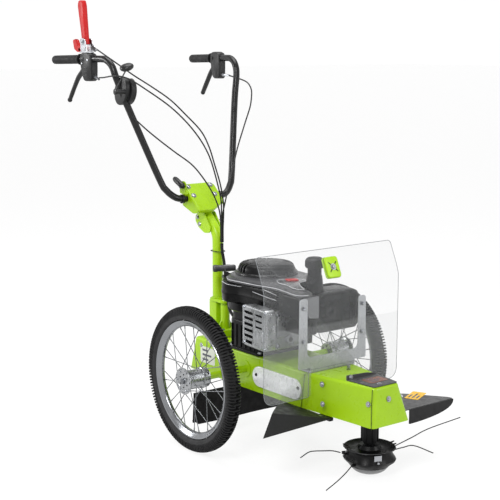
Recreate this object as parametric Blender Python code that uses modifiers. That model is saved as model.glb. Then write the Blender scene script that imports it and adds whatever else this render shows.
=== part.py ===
"""Wheeled brush mower: a string-trimmer head on a green chassis between two spoked wheels.

+X is forward, +Y is the machine's left, +Z is up, in metres. The sizes below are measured from
the wheel axle and the ground; build() shifts the whole machine by AXLE_X at the end, so that the
origin lies under the middle of the machine's bounding box.
"""
import math

import bmesh
import bpy
from mathutils import Vector

COLLECTION = "brush_mower"
CUTTERS = "brush_mower_cutters"
AXLE_X = 0.149           # where the wheel axle lies in the finished file
GAP = 0.0003             # gap between touching pieces
RUN = 0.0005             # running gap between a shaft and its bore

# wheels
AXLE_Z = 0.254
TRACK = 0.663
TYRE_R = 0.254
TYRE_TUBE_R = 0.0238
RIM_R = 0.2060
RIM_HALF_WIDTH = 0.0165
RIM_DEPTH = 0.022
FLANGE_R = 0.046
HUB_CORE_R = 0.021
HUB_OUT = 0.042
HUB_IN = 0.054
SPOKES = 16
SPOKE_R = 0.0016
AXLE_R = 0.010

# chassis channel
PLATE = 0.003
TOP_Z = 0.312
BOTTOM_Z = 0.182
REAR_X = -0.100
BEND_X = 0.335
FRONT_TOP_X = 0.612
FRONT_LOW_X = 0.634
HALF_W = 0.104
FRONT_TOP_HALF = 0.056
FRONT_LOW_HALF = 0.083
COVER_X = (0.084, 0.276)
COVER_Z = 0.243
COVER_R = 0.036
COVER_T = 0.007
COVER_STEPS = 8

# drive
CRANK_X = -0.035
BELT_Z = 0.215
BELT_R = 0.004
CRANK_PULLEY_R = 0.030
HEAD_PULLEY_R = 0.045
HEAD_X = 0.534
IDLER_X = 0.250
IDLER_Y = -0.060
IDLER_ARM = 0.070
IDLER_PULLEY_R = 0.018

# cutting head
CUP_R = 0.092
CUP_TOP_Z = 0.098
CUP_LOW_Z = 0.029
DISH_R = 0.0615
LINE_R = 0.0018

# engine
ENGINE_LOW_Z = TOP_Z + GAP
BLOWER_R = 0.148
BLOWER_Z = (0.485, 0.563)
TRIM_Z = (0.5635, 0.585)
DOME_R = 0.112
DOME_AT = (-0.022, 0.008, 0.0)
DOME_Z = (0.5855, 0.618)
CASE_TOP_Z = 0.4845
CASE_SIZE = (0.216, 0.196)
MUFFLER_AT = (0.138, -0.1515, 0.437)
MUFFLER_SIZE = (0.156, 0.038, 0.144)
MUFFLER_TURN = -6
MUFFLER_PITCH = 0.023
TANK_AT = (0.263, 0.056, 0.495)
TANK_SIZE = (0.128, 0.190, 0.136)
CLEANER_AT = (-0.010, 0.140, 0.3685)
CLEANER_SIZE = (0.110, 0.074, 0.110)

# shield
SHIELD_X = 0.349
SHIELD_T = 0.003
SHIELD_HALF = 0.298
SHIELD_LOW_Z = 0.232
FOLD_Z = 0.612
FLAP_X = 0.303
FLAP_Z = 0.716

# steering column and handlebar
BARREL_X = -0.261
BARREL_R = 0.0172
BARREL_Z = (0.3335, 0.436)
COLUMN_X = -0.307
COLUMN_R = 0.0195
BAR_X = -0.411
BAR_Z = 0.818
BAR_R = 0.0128
BAR_WALL = 0.0022
GRIP_R = 0.0168
# the right half of the handlebar tube: distance behind the axle, half width, height
BAR_PATH = ((BAR_X, 0.090, BAR_Z), (-0.413, 0.118, 0.826), (-0.426, 0.146, 0.851),
            (-0.443, 0.168, 0.897), (-0.529, 0.247, 1.163), (-0.556, 0.277, 1.266),
            (-0.571, 0.2835, 1.306), (-0.600, 0.2885, 1.329), (-0.652, 0.2938, 1.3353),
            (-0.905, 0.3221, 1.3300))
GRIP_FROM = Vector((-0.761, 0.306, 1.333))
GRIP_TO = Vector((-0.931, 0.325, 1.3295))

GREEN = (0.36, 0.62, 0.02)
BLACK = (0.02, 0.02, 0.022)
RUBBER = (0.03, 0.03, 0.03)
GREY = (0.30, 0.30, 0.31)
SILVER = (0.72, 0.73, 0.75)
RED = (0.62, 0.02, 0.03)
CLEAR = (0.85, 0.88, 0.9)


# ---------------------------------------------------------------- helpers

def collection(name):
    """Return the named collection, made and linked the first time."""
    found = bpy.data.collections.get(name)
    if found is None:
        found = bpy.data.collections.new(name)
        bpy.context.scene.collection.children.link(found)
    return found


def paint(obj, colour, rough=0.5, metal=0.0):
    """Give the object a material of its own."""
    material = bpy.data.materials.new(obj.name)
    material.use_nodes = True
    shader = material.node_tree.nodes["Principled BSDF"]
    shader.inputs["Base Color"].default_value = (*colour, 1.0)
    shader.inputs["Roughness"].default_value = rough
    shader.inputs["Metallic"].default_value = metal
    obj.data.materials.clear()
    obj.data.materials.append(material)


def keep(obj, name, colour, rough=0.5, metal=0.0):
    """Name a finished object, move it to the machine's collection and paint it."""
    obj.name = name
    for old in list(obj.users_collection):
        old.objects.unlink(obj)
    collection(COLLECTION).objects.link(obj)
    if colour is not None:
        paint(obj, colour, rough, metal)
    return obj


def apply(obj):
    """Turn the object and its modifiers into one plain mesh, with its transform applied."""
    bpy.context.view_layer.update()
    depsgraph = bpy.context.evaluated_depsgraph_get()
    mesh = bpy.data.meshes.new_from_object(obj.evaluated_get(depsgraph))
    mesh.transform(obj.matrix_world)
    fresh = bpy.data.objects.new(obj.name, mesh)
    bpy.context.scene.collection.objects.link(fresh)
    bpy.data.objects.remove(obj)
    return fresh


def box(centre, size, tilt=0.0, turn=0.0):
    """A box, tilted about Y and then turned about Z, both in degrees."""
    bpy.ops.mesh.primitive_cube_add(size=1.0, location=centre)
    obj = bpy.context.object
    obj.scale = size
    obj.rotation_euler = (0.0, math.radians(tilt), math.radians(turn))
    return apply(obj)


def rod(start, end, radius, sides=16, end_radius=None):
    """A cylinder, or a cone with another end radius, between two points."""
    start = Vector(start)
    end = Vector(end)
    along = end - start
    far = radius if end_radius is None else end_radius
    bpy.ops.mesh.primitive_cone_add(vertices=sides, radius1=radius, radius2=far,
                                    depth=along.length, location=(start + end) / 2)
    obj = bpy.context.object
    obj.rotation_mode = "QUATERNION"
    obj.rotation_quaternion = along.to_track_quat("Z", "Y")
    return apply(obj)


def ball(centre, radius, segments=12):
    """A small sphere."""
    bpy.ops.mesh.primitive_uv_sphere_add(segments=segments, ring_count=segments // 2,
                                         radius=radius, location=centre)
    return apply(bpy.context.object)


def turned(profile, origin, along=(0, 0, 1), steps=32):
    """A turned piece: a closed profile of (radius, height) points, spun about an axis."""
    mesh = bpy.data.meshes.new("turned")
    points = [(radius, 0.0, height) for radius, height in profile]
    edges = [(i, (i + 1) % len(points)) for i in range(len(points))]
    on_axis = [i for i, (radius, _) in enumerate(profile) if radius == 0.0]
    edges = [edge for edge in edges if not (edge[0] in on_axis and edge[1] in on_axis)]
    mesh.from_pydata(points, edges, [])
    obj = bpy.data.objects.new("turned", mesh)
    bpy.context.scene.collection.objects.link(obj)
    screw = obj.modifiers.new("spin", "SCREW")
    screw.steps = steps
    screw.render_steps = steps
    screw.use_merge_vertices = True
    screw.merge_threshold = 0.00001
    screw.use_normal_calculate = True
    obj.rotation_mode = "QUATERNION"
    obj.rotation_quaternion = Vector(along).to_track_quat("Z", "Y")
    obj.location = origin
    return face_outwards(apply(obj))


def face_outwards(obj):
    """Point every face of a closed mesh outwards."""
    work = bmesh.new()
    work.from_mesh(obj.data)
    bmesh.ops.recalc_face_normals(work, faces=work.faces)
    work.to_mesh(obj.data)
    work.free()
    return obj


def tube(path, radius, closed=False, resolution=2):
    """A round bar along hand-set points."""
    curve = bpy.data.curves.new("tube", "CURVE")
    curve.dimensions = "3D"
    curve.bevel_depth = radius
    curve.bevel_resolution = resolution
    curve.use_fill_caps = not closed
    spline = curve.splines.new("POLY")
    spline.points.add(len(path) - 1)
    for point, place in zip(spline.points, path):
        point.co = (*place, 1.0)
    spline.use_cyclic_u = closed
    obj = bpy.data.objects.new("tube", curve)
    bpy.context.scene.collection.objects.link(obj)
    return weld(apply(obj))


def smooth(points, spacing):
    """Points every so often along a smooth curve through the given ones."""
    path = [Vector(point) for point in points]
    path = [2 * path[0] - path[1]] + path + [2 * path[-1] - path[-2]]
    dense = []
    for a, b, c, d in zip(path, path[1:], path[2:], path[3:]):
        for step in range(24):
            t = step / 24
            dense.append(0.5 * (2 * b + (c - a) * t + (2 * a - 5 * b + 4 * c - d) * t * t
                                + (3 * b - a - 3 * c + d) * t ** 3))
    dense.append(path[-2])
    length = sum((q - p).length for p, q in zip(dense, dense[1:]))
    count = max(2, round(length / spacing))
    result = [dense[0]]
    walked = 0.0
    for p, q in zip(dense, dense[1:]):
        walked += (q - p).length
        if walked >= len(result) * length / count - 1e-9 and len(result) < count:
            result.append(q)
    result.append(dense[-1])
    return result


def slab(outline, thickness, axis="Z", at=0.0):
    """A flat plate from an outline. Axis Z keeps (x, y); axis Y takes (x, z); axis X takes (y, z)."""
    curve = bpy.data.curves.new("slab", "CURVE")
    curve.dimensions = "2D"
    curve.fill_mode = "BOTH"
    curve.extrude = thickness / 2
    spline = curve.splines.new("POLY")
    spline.points.add(len(outline) - 1)
    for point, place in zip(spline.points, outline):
        point.co = (*place, 0.0, 1.0)
    spline.use_cyclic_u = True
    obj = bpy.data.objects.new("slab", curve)
    bpy.context.scene.collection.objects.link(obj)
    if axis == "Z":
        obj.location = (0, 0, at)
    elif axis == "Y":
        obj.rotation_euler = (math.pi / 2, 0, 0)
        obj.location = (0, at, 0)
    else:
        obj.rotation_euler = (math.pi / 2, 0, math.pi / 2)
        obj.location = (at, 0, 0)
    return weld(apply(obj))


def weld(obj):
    """Merge the doubled corners of a converted curve."""
    merge = obj.modifiers.new("weld", "WELD")
    merge.merge_threshold = 0.00002
    return apply(obj)


def soften(obj, width, segments=1):
    """Chamfer or round the sharp edges."""
    bevel = obj.modifiers.new("bevel", "BEVEL")
    bevel.width = width
    bevel.segments = segments
    bevel.limit_method = "ANGLE"
    bevel.angle_limit = math.radians(50)
    return apply(obj)


def boolean(obj, others, operation):
    """Cut or join whole meshes, one after another; the cutters stay in their own collection."""
    for number, other in enumerate(others):
        for old in list(other.users_collection):
            old.objects.unlink(other)
        collection(CUTTERS).objects.link(other)
        other.name = "cutter_%d" % number
        modifier = obj.modifiers.new("boolean", "BOOLEAN")
        modifier.operation = operation
        modifier.solver = "EXACT"
        modifier.object = other
    result = apply(obj)
    for other in others:
        other.hide_render = True
        other.display_type = "WIRE"
    return result


def join(obj, *others):
    """Join the pieces into one closed mesh."""
    return boolean(obj, others, "UNION")


def cut(obj, *others):
    """Cut the pieces away from the mesh."""
    return boolean(obj, others, "DIFFERENCE")


def loft(sections, shell=0.0, open_start=True):
    """A channel, open below; a section is (top x, low x, top half, low half, top z, low z)."""
    mesh = bpy.data.meshes.new("loft")
    points = []
    for top_x, low_x, top_half, low_half, top_z, low_z in sections:
        points += [(low_x, -low_half, low_z), (top_x, -top_half, top_z),
                   (top_x, top_half, top_z), (low_x, low_half, low_z)]
    faces = []
    for i in range(len(sections) - 1):
        for k in range(3):
            faces.append((4 * i + k, 4 * i + k + 4, 4 * i + k + 5, 4 * i + k + 1))
    last = 4 * (len(sections) - 1)
    faces.append((last + 3, last + 2, last + 1, last))
    if not open_start:
        faces.append((0, 1, 2, 3))
    mesh.from_pydata(points, [], faces)
    obj = bpy.data.objects.new("loft", mesh)
    bpy.context.scene.collection.objects.link(obj)
    thick = obj.modifiers.new("shell", "SOLIDIFY")
    thick.thickness = shell
    thick.offset = -1.0
    thick.use_even_offset = True
    return apply(obj)


def side(vector, sign):
    """Mirror a right-hand place to the side given by the sign, -1 for right."""
    return Vector((vector[0], sign * abs(vector[1]), vector[2]))


# ---------------------------------------------------------------- wheels

def wheel(name, sign):
    """Tyre, rim and spoked hub of one wheel."""
    centre = Vector((0.0, sign * TRACK / 2, AXLE_Z))
    bpy.ops.mesh.primitive_torus_add(location=centre, rotation=(math.pi / 2, 0, 0),
                                     major_radius=TYRE_R - TYRE_TUBE_R, minor_radius=TYRE_TUBE_R,
                                     major_segments=44, minor_segments=8)
    keep(apply(bpy.context.object), name + "_tyre", RUBBER, 0.9)
    low = RIM_R - RIM_DEPTH
    profile = ((RIM_R, -RIM_HALF_WIDTH), (low, -RIM_HALF_WIDTH * 0.55),
               (low, RIM_HALF_WIDTH * 0.55), (RIM_R, RIM_HALF_WIDTH))
    rim = turned(profile, centre, (0, 1, 0), 44)
    keep(rim, name + "_rim", SILVER, 0.25, 1.0)
    outward = Vector((0, sign, 0))
    hub = rod(centre - outward * HUB_IN, centre + outward * HUB_OUT, HUB_CORE_R, 20)
    outer = centre + outward * (HUB_OUT - 0.006)
    inner = centre - outward * 0.030
    pieces = [rod(outer, outer + outward * 0.006, FLANGE_R, 24),
              rod(inner, inner - outward * 0.005, FLANGE_R * 0.8, 24),
              rod(centre - outward * (HUB_IN - 0.014), centre - outward * HUB_IN, 0.030, 20)]
    for k in range(SPOKES):
        angle = 2 * math.pi * k / SPOKES
        tip = Vector((math.cos(angle), 0, math.sin(angle))) * (low - 0.0012)
        root = Vector((math.cos(angle), 0, math.sin(angle))) * FLANGE_R * 0.7
        offset = outer + outward * 0.003 if k % 2 == 0 else inner - outward * 0.0025
        pieces.append(rod(offset + root, centre + tip, SPOKE_R, 5))
    hub = join(hub, *pieces)
    bore = rod(centre - outward * 0.1, centre + outward * 0.1, AXLE_R + RUN, 16)
    hub = cut(hub, bore)
    keep(hub, name + "_spoked_hub", SILVER, 0.3, 1.0)


# ---------------------------------------------------------------- chassis

def chassis():
    """The pressed-steel channel that carries everything."""
    sections = ((REAR_X, REAR_X, HALF_W, HALF_W, TOP_Z, BOTTOM_Z),
                (BEND_X, BEND_X - 0.02, HALF_W, HALF_W, TOP_Z, BOTTOM_Z),
                (FRONT_TOP_X, FRONT_LOW_X, FRONT_TOP_HALF, FRONT_LOW_HALF, TOP_Z, BOTTOM_Z + 0.006))
    shell = loft(sections, PLATE)
    axle_hole = rod((0, -0.2, AXLE_Z), (0, 0.2, AXLE_Z), AXLE_R + 0.006, 16)
    crank_hole = rod((CRANK_X, 0, TOP_Z - 0.02), (CRANK_X, 0, TOP_Z + 0.02), 0.030, 20)
    shell = cut(shell, axle_hole, crank_hole)
    keep(shell, "chassis", GREEN, 0.35)

    rear = ((-0.318, -0.352, HALF_W - 0.004, HALF_W - 0.004, TOP_Z - 0.001, BOTTOM_Z),
            (REAR_X - GAP, REAR_X - GAP, HALF_W - 0.004, HALF_W - 0.004, TOP_Z - 0.001, BOTTOM_Z))
    bracket = loft(rear, PLATE, open_start=False)
    keep(bracket, "rear_frame", GREEN, 0.35)

    plate = slab(((0.488, -0.066), (0.602, -0.052), (0.606, -0.046), (0.606, 0.046),
                  (0.602, 0.052), (0.488, 0.066)), PLATE, "Z", TOP_Z + GAP + PLATE / 2)
    upstand = box((0.4895, 0, TOP_Z + 0.012), (PLATE, 0.132, 0.020))
    keep(join(plate, upstand), "front_top_plate", BLACK, 0.4)

    outline = []
    for end_x, first in ((COVER_X[0], math.pi / 2), (COVER_X[1], -math.pi / 2)):
        for k in range(COVER_STEPS + 1):
            angle = first + math.pi * k / COVER_STEPS
            outline.append((end_x + COVER_R * math.cos(angle), COVER_Z + COVER_R * math.sin(angle)))
    cover = slab(outline, COVER_T, "Y", -HALF_W - GAP - COVER_T / 2)
    keep(soften(cover, 0.003), "access_cover", SILVER, 0.3, 0.8)


# the left deflector's front skirt as (y, z): a straight top and a curved lower edge
SKIRT = ((0.1045, 0.186), (0.369, 0.186), (0.347, 0.176), (0.309, 0.155), (0.261, 0.1396),
         (0.213, 0.1384), (0.165, 0.1476), (0.1045, 0.165))


def guards():
    """The sheets that keep cut grass away from the wheels and the operator."""
    rear = box((-0.062, 0, 0.122), (0.0025, 0.572, 0.119))
    keep(rear, "rear_guard", BLACK, 0.6)

    points = ((0.193, -0.1045, 0.1795), (0.455, -0.1045, 0.1795), (0.400, -0.304, 0.223),
              (0.446, -0.3765, 0.168))
    right = fold(points, ((0, 1, 2), (2, 1, 3)), 0.003)
    keep(right, "right_deflector", BLACK, 0.5)

    top = slab(((0.385, 0.1045), (0.385, 0.262), (0.533, 0.372), (0.547, 0.369), (0.552, 0.1045)),
               PLATE, "Z", 0.1875)
    skirt = slab(SKIRT, PLATE, "X", 0.5505)
    keep(join(top, skirt), "left_deflector", BLACK, 0.5)


def fold(points, faces, thickness):
    """A sheet folded through the given corners."""
    mesh = bpy.data.meshes.new("fold")
    mesh.from_pydata(points, [], faces)
    obj = bpy.data.objects.new("fold", mesh)
    bpy.context.scene.collection.objects.link(obj)
    thick = obj.modifiers.new("shell", "SOLIDIFY")
    thick.thickness = thickness
    thick.offset = 0.0
    return apply(obj)


# ---------------------------------------------------------------- drive line

def drive():
    """Axle with its gearbox, crankshaft, belt, idler and spindle."""
    half = TRACK / 2 + HUB_OUT + 0.004
    axle = rod((0, -half, AXLE_Z), (0, half, AXLE_Z), AXLE_R, 16)
    gearbox = soften(box((0.006, 0.058, AXLE_Z + 0.0145), (0.096, 0.072, 0.073)), 0.006)
    keep(join(axle, gearbox), "drive_axle", GREY, 0.4, 0.6)

    low = BELT_Z - 0.011
    crank = rod((CRANK_X, 0, low - 0.004), (CRANK_X, 0, 0.345), 0.0125, 16)
    crank = join(crank, pulley((CRANK_X, 0, BELT_Z), CRANK_PULLEY_R))
    keep(crank, "crankshaft", GREY, 0.3, 0.9)

    spindle = rod((HEAD_X, 0, CUP_TOP_Z + GAP), (HEAD_X, 0, BELT_Z + 0.016), 0.0100, 16)
    spindle = join(spindle, pulley((HEAD_X, 0, BELT_Z), HEAD_PULLEY_R))
    keep(spindle, "spindle_shaft", GREY, 0.3, 0.9)

    belt = tube(belt_path(), BELT_R, closed=True, resolution=1)
    keep(belt, "drive_belt", RUBBER, 0.8)

    arm = rod((IDLER_X, IDLER_Y, 0.2265), (IDLER_X, IDLER_Y, TOP_Z - PLATE - RUN), 0.010, 14)
    reach = Vector((IDLER_X + IDLER_ARM, IDLER_Y - 0.010, 0.2295))
    middle = (Vector((IDLER_X, IDLER_Y, reach.z)) + reach) / 2
    bar = box(middle, (IDLER_ARM + 0.012, 0.016, 0.006))
    wheel_piece = pulley((reach.x, reach.y, BELT_Z), IDLER_PULLEY_R)
    pin = rod((reach.x, reach.y, BELT_Z), (reach.x, reach.y, 0.2325), 0.006, 12)
    keep(join(arm, bar, wheel_piece, pin), "idler_arm", GREY, 0.4, 0.7)

    housing = rod((HEAD_X, 0, CUP_TOP_Z + 0.004), (HEAD_X, 0, 0.198), 0.032, 24)
    flange = slab(((0.470, -0.0870), (0.600, -0.0760), (0.600, 0.0760), (0.470, 0.0870)),
                  0.006, "Z", 0.195)
    housing = join(housing, flange)
    bore = rod((HEAD_X, 0, 0.05), (HEAD_X, 0, 0.25), 0.0100 + RUN, 16)
    keep(cut(housing, bore), "spindle_housing", BLACK, 0.45)


def pulley(centre, groove_r):
    """A grooved pulley about Z; groove_r is the radius at the bottom of the groove."""
    lip = groove_r + BELT_R * 1.6
    profile = ((0.0, 0.010), (lip, 0.010), (lip, 0.0075), (groove_r, 0.0045),
               (groove_r, -0.0045), (lip, -0.0075), (lip, -0.010), (0.0, -0.010))
    return turned(profile, centre, (0, 0, 1), 24)


def belt_path():
    """The open loop of the belt round the two pulleys, with a straight run each side."""
    ride = BELT_R + RUN
    small = CRANK_PULLEY_R + ride
    large = HEAD_PULLEY_R + ride
    lean = math.asin((large - small) / (HEAD_X - CRANK_X))
    path = []
    for k in range(13):
        angle = -math.pi / 2 - lean + (math.pi + 2 * lean) * k / 12
        path.append((HEAD_X + large * math.cos(angle), large * math.sin(angle), BELT_Z))
    for k in range(11):
        angle = math.pi / 2 + lean + (math.pi - 2 * lean) * k / 10
        path.append((CRANK_X + small * math.cos(angle), small * math.sin(angle), BELT_Z))
    return path


def cutting_head():
    """The line cup, its free-spinning glide dish and four cutting lines."""
    profile = ((0.0, CUP_TOP_Z), (0.034, CUP_TOP_Z), (0.040, 0.086), (0.060, 0.084),
               (0.080, 0.090), (0.086, 0.086), (0.086, 0.074), (CUP_R, 0.060),
               (0.088, 0.044), (0.068, CUP_LOW_Z), (0.0, CUP_LOW_Z))
    cup = turned(profile, (HEAD_X, 0, 0), (0, 0, 1), 28)
    keep(cup, "head_cup", BLACK, 0.4)

    profile = [(0.0, CUP_LOW_Z - RUN), (DISH_R, CUP_LOW_Z - RUN)]
    for k in range(1, 6):
        angle = math.pi / 2 * k / 6
        profile.append((DISH_R * math.cos(angle), (CUP_LOW_Z - RUN) * (1 - math.sin(angle))))
    profile.append((0.0, 0.0))
    dish = turned(profile, (HEAD_X, 0, 0), (0, 0, 1), 28)
    keep(dish, "glide_dish", GREY, 0.35)

    for number, points in enumerate(LINE_ROUTES):
        line = tube(smooth(points, 0.010), LINE_R, resolution=1)
        keep(line, "cutting_line_%d" % (number + 1), BLACK, 0.5)


# each cutting line from the cup's edge to its free end
LINE_ROUTES = (
    ((0.4765, -0.0765, 0.068), (0.470, -0.105, 0.078), (0.458, -0.135, 0.081),
     (0.435, -0.155, 0.078), (0.422, -0.168, 0.073), (0.408, -0.190, 0.055)),
    ((0.5500, -0.0945, 0.045), (0.566, -0.133, 0.036), (0.574, -0.177, 0.020), (0.581, -0.229, 0.0045)),
    ((0.5600, 0.0885, 0.078), (0.566, 0.165, 0.095), (0.572, 0.235, 0.112), (0.590, 0.370, 0.130)),
    ((0.5560, 0.0920, 0.064), (0.566, 0.125, 0.068), (0.579, 0.160, 0.070), (0.631, 0.199, 0.050)),
)


# ---------------------------------------------------------------- engine

def engine():
    """A vertical-shaft petrol engine, as its casings and covers."""
    case = box((CRANK_X, 0, (ENGINE_LOW_Z + CASE_TOP_Z) / 2), (*CASE_SIZE, CASE_TOP_Z - ENGINE_LOW_Z))
    case = soften(case, 0.02)
    bore = rod((CRANK_X, 0, 0.25), (CRANK_X, 0, 0.350), 0.0125 + RUN, 16)
    keep(cut(case, bore), "crankcase", BLACK, 0.5)

    barrel = box((0.130, -0.045, 0.388), (0.112, 0.130, 0.054))
    fins = [box((0.092 + 0.022 * k, -0.045, 0.388), (0.005, 0.146, 0.070)) for k in range(5)]
    keep(join(barrel, *fins), "cylinder", SILVER, 0.5, 0.8)

    guard = soften(box(MUFFLER_AT, MUFFLER_SIZE, 0, MUFFLER_TURN), 0.012)
    face = Vector(MUFFLER_AT) + Vector((0, -MUFFLER_SIZE[1] / 2, 0))
    slots = []
    for k in range(5):
        level = Vector((0, 0, MUFFLER_PITCH * (k - 2)))
        slots.append(box(face + level, (0.108, 0.016, 0.009), 0, MUFFLER_TURN))
    keep(cut(guard, *slots), "muffler_guard", SILVER, 0.45, 0.8)

    low, high = BLOWER_Z
    shroud = rod((CRANK_X, 0, low), (CRANK_X, 0, high), BLOWER_R, 32)
    nose = box((0.085, -0.010, (low + high) / 2), (0.190, 0.226, high - low))
    shroud = join(shroud, nose)
    room = box((0.088, -0.160, 0.40), (0.230, 0.084, 0.190), 0, MUFFLER_TURN)
    keep(cut(shroud, room), "blower_housing", BLACK, 0.5)

    low, high = TRIM_Z
    outline = ((-0.130, -0.075), (-0.060, -0.138), (0.090, -0.128), (0.170, -0.112),
               (0.300, -0.128), (0.328, -0.112), (0.328, -0.070), (0.212, -0.045),
               (0.190, 0.090), (0.060, 0.140), (-0.090, 0.135), (-0.150, 0.060))
    trim = slab(outline, high - low, "Z", (low + high) / 2)
    keep(soften(trim, 0.006), "engine_trim", GREY, 0.4)

    low, high = DOME_Z
    profile = ((0.0, high), (DOME_R * 0.72, high), (DOME_R * 0.92, high - 0.009),
               (DOME_R, high - 0.024), (DOME_R, low), (0.0, low))
    keep(turned(profile, DOME_AT, (0, 0, 1), 32), "starter_dome", BLACK, 0.5)

    tank = soften(box(TANK_AT, TANK_SIZE), 0.022, 2)
    neck = rod((0.250, 0.000, 0.56), (0.250, 0.000, 0.643), 0.030, 20, 0.024)
    keep(join(tank, neck), "fuel_tank", BLACK, 0.35)
    cap = rod((0.250, 0.0, 0.643 + GAP), (0.250, 0.0, 0.678), 0.033, 20)
    keep(soften(cap, 0.004), "fuel_cap", BLACK, 0.4)

    cleaner = soften(box(CLEANER_AT, CLEANER_SIZE), 0.015)
    keep(cleaner, "air_filter_cover", BLACK, 0.5)


# the starter grip lies level behind the engine, beside the column
STARTER_AT = Vector((-0.216, -0.036, 0.577))
STARTER_LIE = Vector((0.45, 0.89, 0.0)).normalized()
STARTER_HALF = 0.042


def starter():
    """The pull-starter's grip and its rope."""
    grip = rod(STARTER_AT - STARTER_LIE * STARTER_HALF, STARTER_AT + STARTER_LIE * STARTER_HALF,
               0.0135, 16)
    hollow = rod(STARTER_AT - STARTER_LIE * (STARTER_HALF + 0.002),
                 STARTER_AT - STARTER_LIE * (STARTER_HALF - 0.016), 0.0095, 12)
    keep(cut(grip, hollow), "starter_grip", GREY, 0.5)
    across = Vector((STARTER_LIE.y, -STARTER_LIE.x, 0.0))
    rope = [STARTER_AT + across * 0.0142, STARTER_AT + across * 0.022 + Vector((0, 0, -0.005)),
            Vector((-0.1815, -0.0445, 0.560))]
    keep(tube(rope, 0.002, resolution=1), "starter_rope", BLACK, 0.8)


# ---------------------------------------------------------------- shield

def shield():
    """The clear stone guard, its aluminium stay and the clamp on its flap."""
    lean = Vector((FLAP_X - SHIELD_X, 0, FLAP_Z - FOLD_Z))
    out = Vector((lean.z, 0, -lean.x)).normalized() * SHIELD_T
    outline = ((SHIELD_X, SHIELD_LOW_Z), (SHIELD_X + SHIELD_T, SHIELD_LOW_Z),
               (SHIELD_X + SHIELD_T, FOLD_Z), (FLAP_X + out.x, FLAP_Z + out.z), (FLAP_X, FLAP_Z),
               (SHIELD_X, FOLD_Z))
    sheet = slab(outline, 2 * SHIELD_HALF, "Y", 0.0)
    window = box((SHIELD_X, 0, 0.2), (0.05, 2 * HALF_W + 0.010, 2 * (TOP_Z + 0.012 - 0.2)))
    keep(cut(sheet, window), "clear_shield", CLEAR, 0.1)

    front = SHIELD_X - GAP
    uprights = [box((front - 0.0015, sign * 0.128, 0.442), (PLATE, 0.034, 0.250)) for sign in (-1, 1)]
    foot = box((front - 0.030, 0, TOP_Z + GAP + 0.0015), (0.060, 0.200, PLATE))
    web = box((front - 0.0015, 0, 0.322), (PLATE, 0.290, 0.026))
    web_cut = box((front, 0, 0.30), (0.02, 0.3, 0.0245))
    stay = join(foot, web, *uprights)
    keep(cut(stay, web_cut), "shield_stay", SILVER, 0.4, 0.9)

    middle = Vector((SHIELD_X, 0, FOLD_Z)) + lean * 0.42 + out * (1 + (0.0025 + GAP) / SHIELD_T)
    tilt = -math.degrees(math.atan2(-lean.x, lean.z))
    plate = soften(box(middle + Vector((0, 0.006, 0)), (0.005, 0.076, 0.072), tilt), 0.0015)
    knob = rod(middle + Vector((0, 0.006, 0)), middle + out * 4 + Vector((0, 0.006, 0)), 0.014, 12)
    keep(join(plate, knob), "shield_clamp", GREEN, 0.4)


# ---------------------------------------------------------------- column

COLUMN_PATH = ((COLUMN_X, 0, 0.3985), (COLUMN_X, 0, 0.660), (-0.311, 0, 0.684), (-0.323, 0, 0.706),
               (-0.345, 0, 0.729), (-0.372, 0, 0.755), (-0.392, 0, 0.778))
# the square shoe below the column, behind the barrel
SHOE_AT = (COLUMN_X - 0.002, 0, 0.3905)
SHOE_SIZE = (0.044, 0.046, 0.101)
HEAD_TILT = 42.0
CLAMP_SIZE = (0.070, 0.164, 0.052)
CLAMP_WALL = 0.005


def column():
    """The steering barrel on the frame and the column that swivels in it."""
    low, high = BARREL_Z
    barrel = rod((BARREL_X, 0, low), (BARREL_X, 0, high), BARREL_R, 20)
    foot = box((BARREL_X, 0, (TOP_Z + low) / 2 + 0.003), (0.075, 0.080, low - TOP_Z + 0.004))
    barrel = join(barrel, foot)
    pin_hole = rod((BARREL_X, 0, high - 0.070), (BARREL_X, 0, high + 0.02), 0.008 + RUN, 16)
    keep(cut(barrel, pin_hole), "swivel_barrel", GREEN, 0.35)

    post = tube(COLUMN_PATH, COLUMN_R, resolution=3)
    plate = box(((COLUMN_X + BARREL_X) / 2, 0, high + 0.0055 + RUN), (0.092, 0.050, 0.010))
    pin = rod((BARREL_X, 0, high - 0.060), (BARREL_X, 0, high + 0.014), 0.008, 16)
    shoe = box(SHOE_AT, SHOE_SIZE)
    keep(join(post, plate, pin, shoe), "steering_column", GREEN, 0.35)

    clamp = box((BAR_X, 0, BAR_Z), CLAMP_SIZE, HEAD_TILT)
    below = Vector((-math.sin(math.radians(HEAD_TILT)), 0, -math.cos(math.radians(HEAD_TILT))))
    pocket = box(Vector((BAR_X, 0, BAR_Z)) + below * CLAMP_WALL,
                 (CLAMP_SIZE[0] - 2 * CLAMP_WALL, CLAMP_SIZE[1] - 2 * CLAMP_WALL, CLAMP_SIZE[2]), HEAD_TILT)
    clamp = cut(clamp, pocket)
    socket = rod((-0.372, 0, 0.7552), (-0.402, 0, 0.7885), COLUMN_R + 0.004, 20)
    clamp = join(clamp, socket)
    groove = rod((BAR_X, -0.2, BAR_Z), (BAR_X, 0.2, BAR_Z), BAR_R + RUN, 20)
    hole = rod((-0.345, 0, 0.7252), (-0.3955, 0, 0.7812), COLUMN_R + RUN + GAP, 24)
    keep(cut(clamp, groove, hole), "handlebar_clamp", GREEN, 0.35)

    knob = rod((-0.411, -0.0835, 0.8675), (-0.411, -0.112, 0.8675), 0.0145, 16)
    lobe = box((-0.421, -0.100, 0.8675), (0.034, 0.016, 0.016))
    keep(soften(join(knob, lobe), 0.002), "lock_knob", BLACK, 0.4)


# ---------------------------------------------------------------- handlebar and controls

PERCH_SIZE = (0.070, 0.034, 0.096)
PERCH_TURN = 6.4         # the grips point this many degrees outwards


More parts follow.
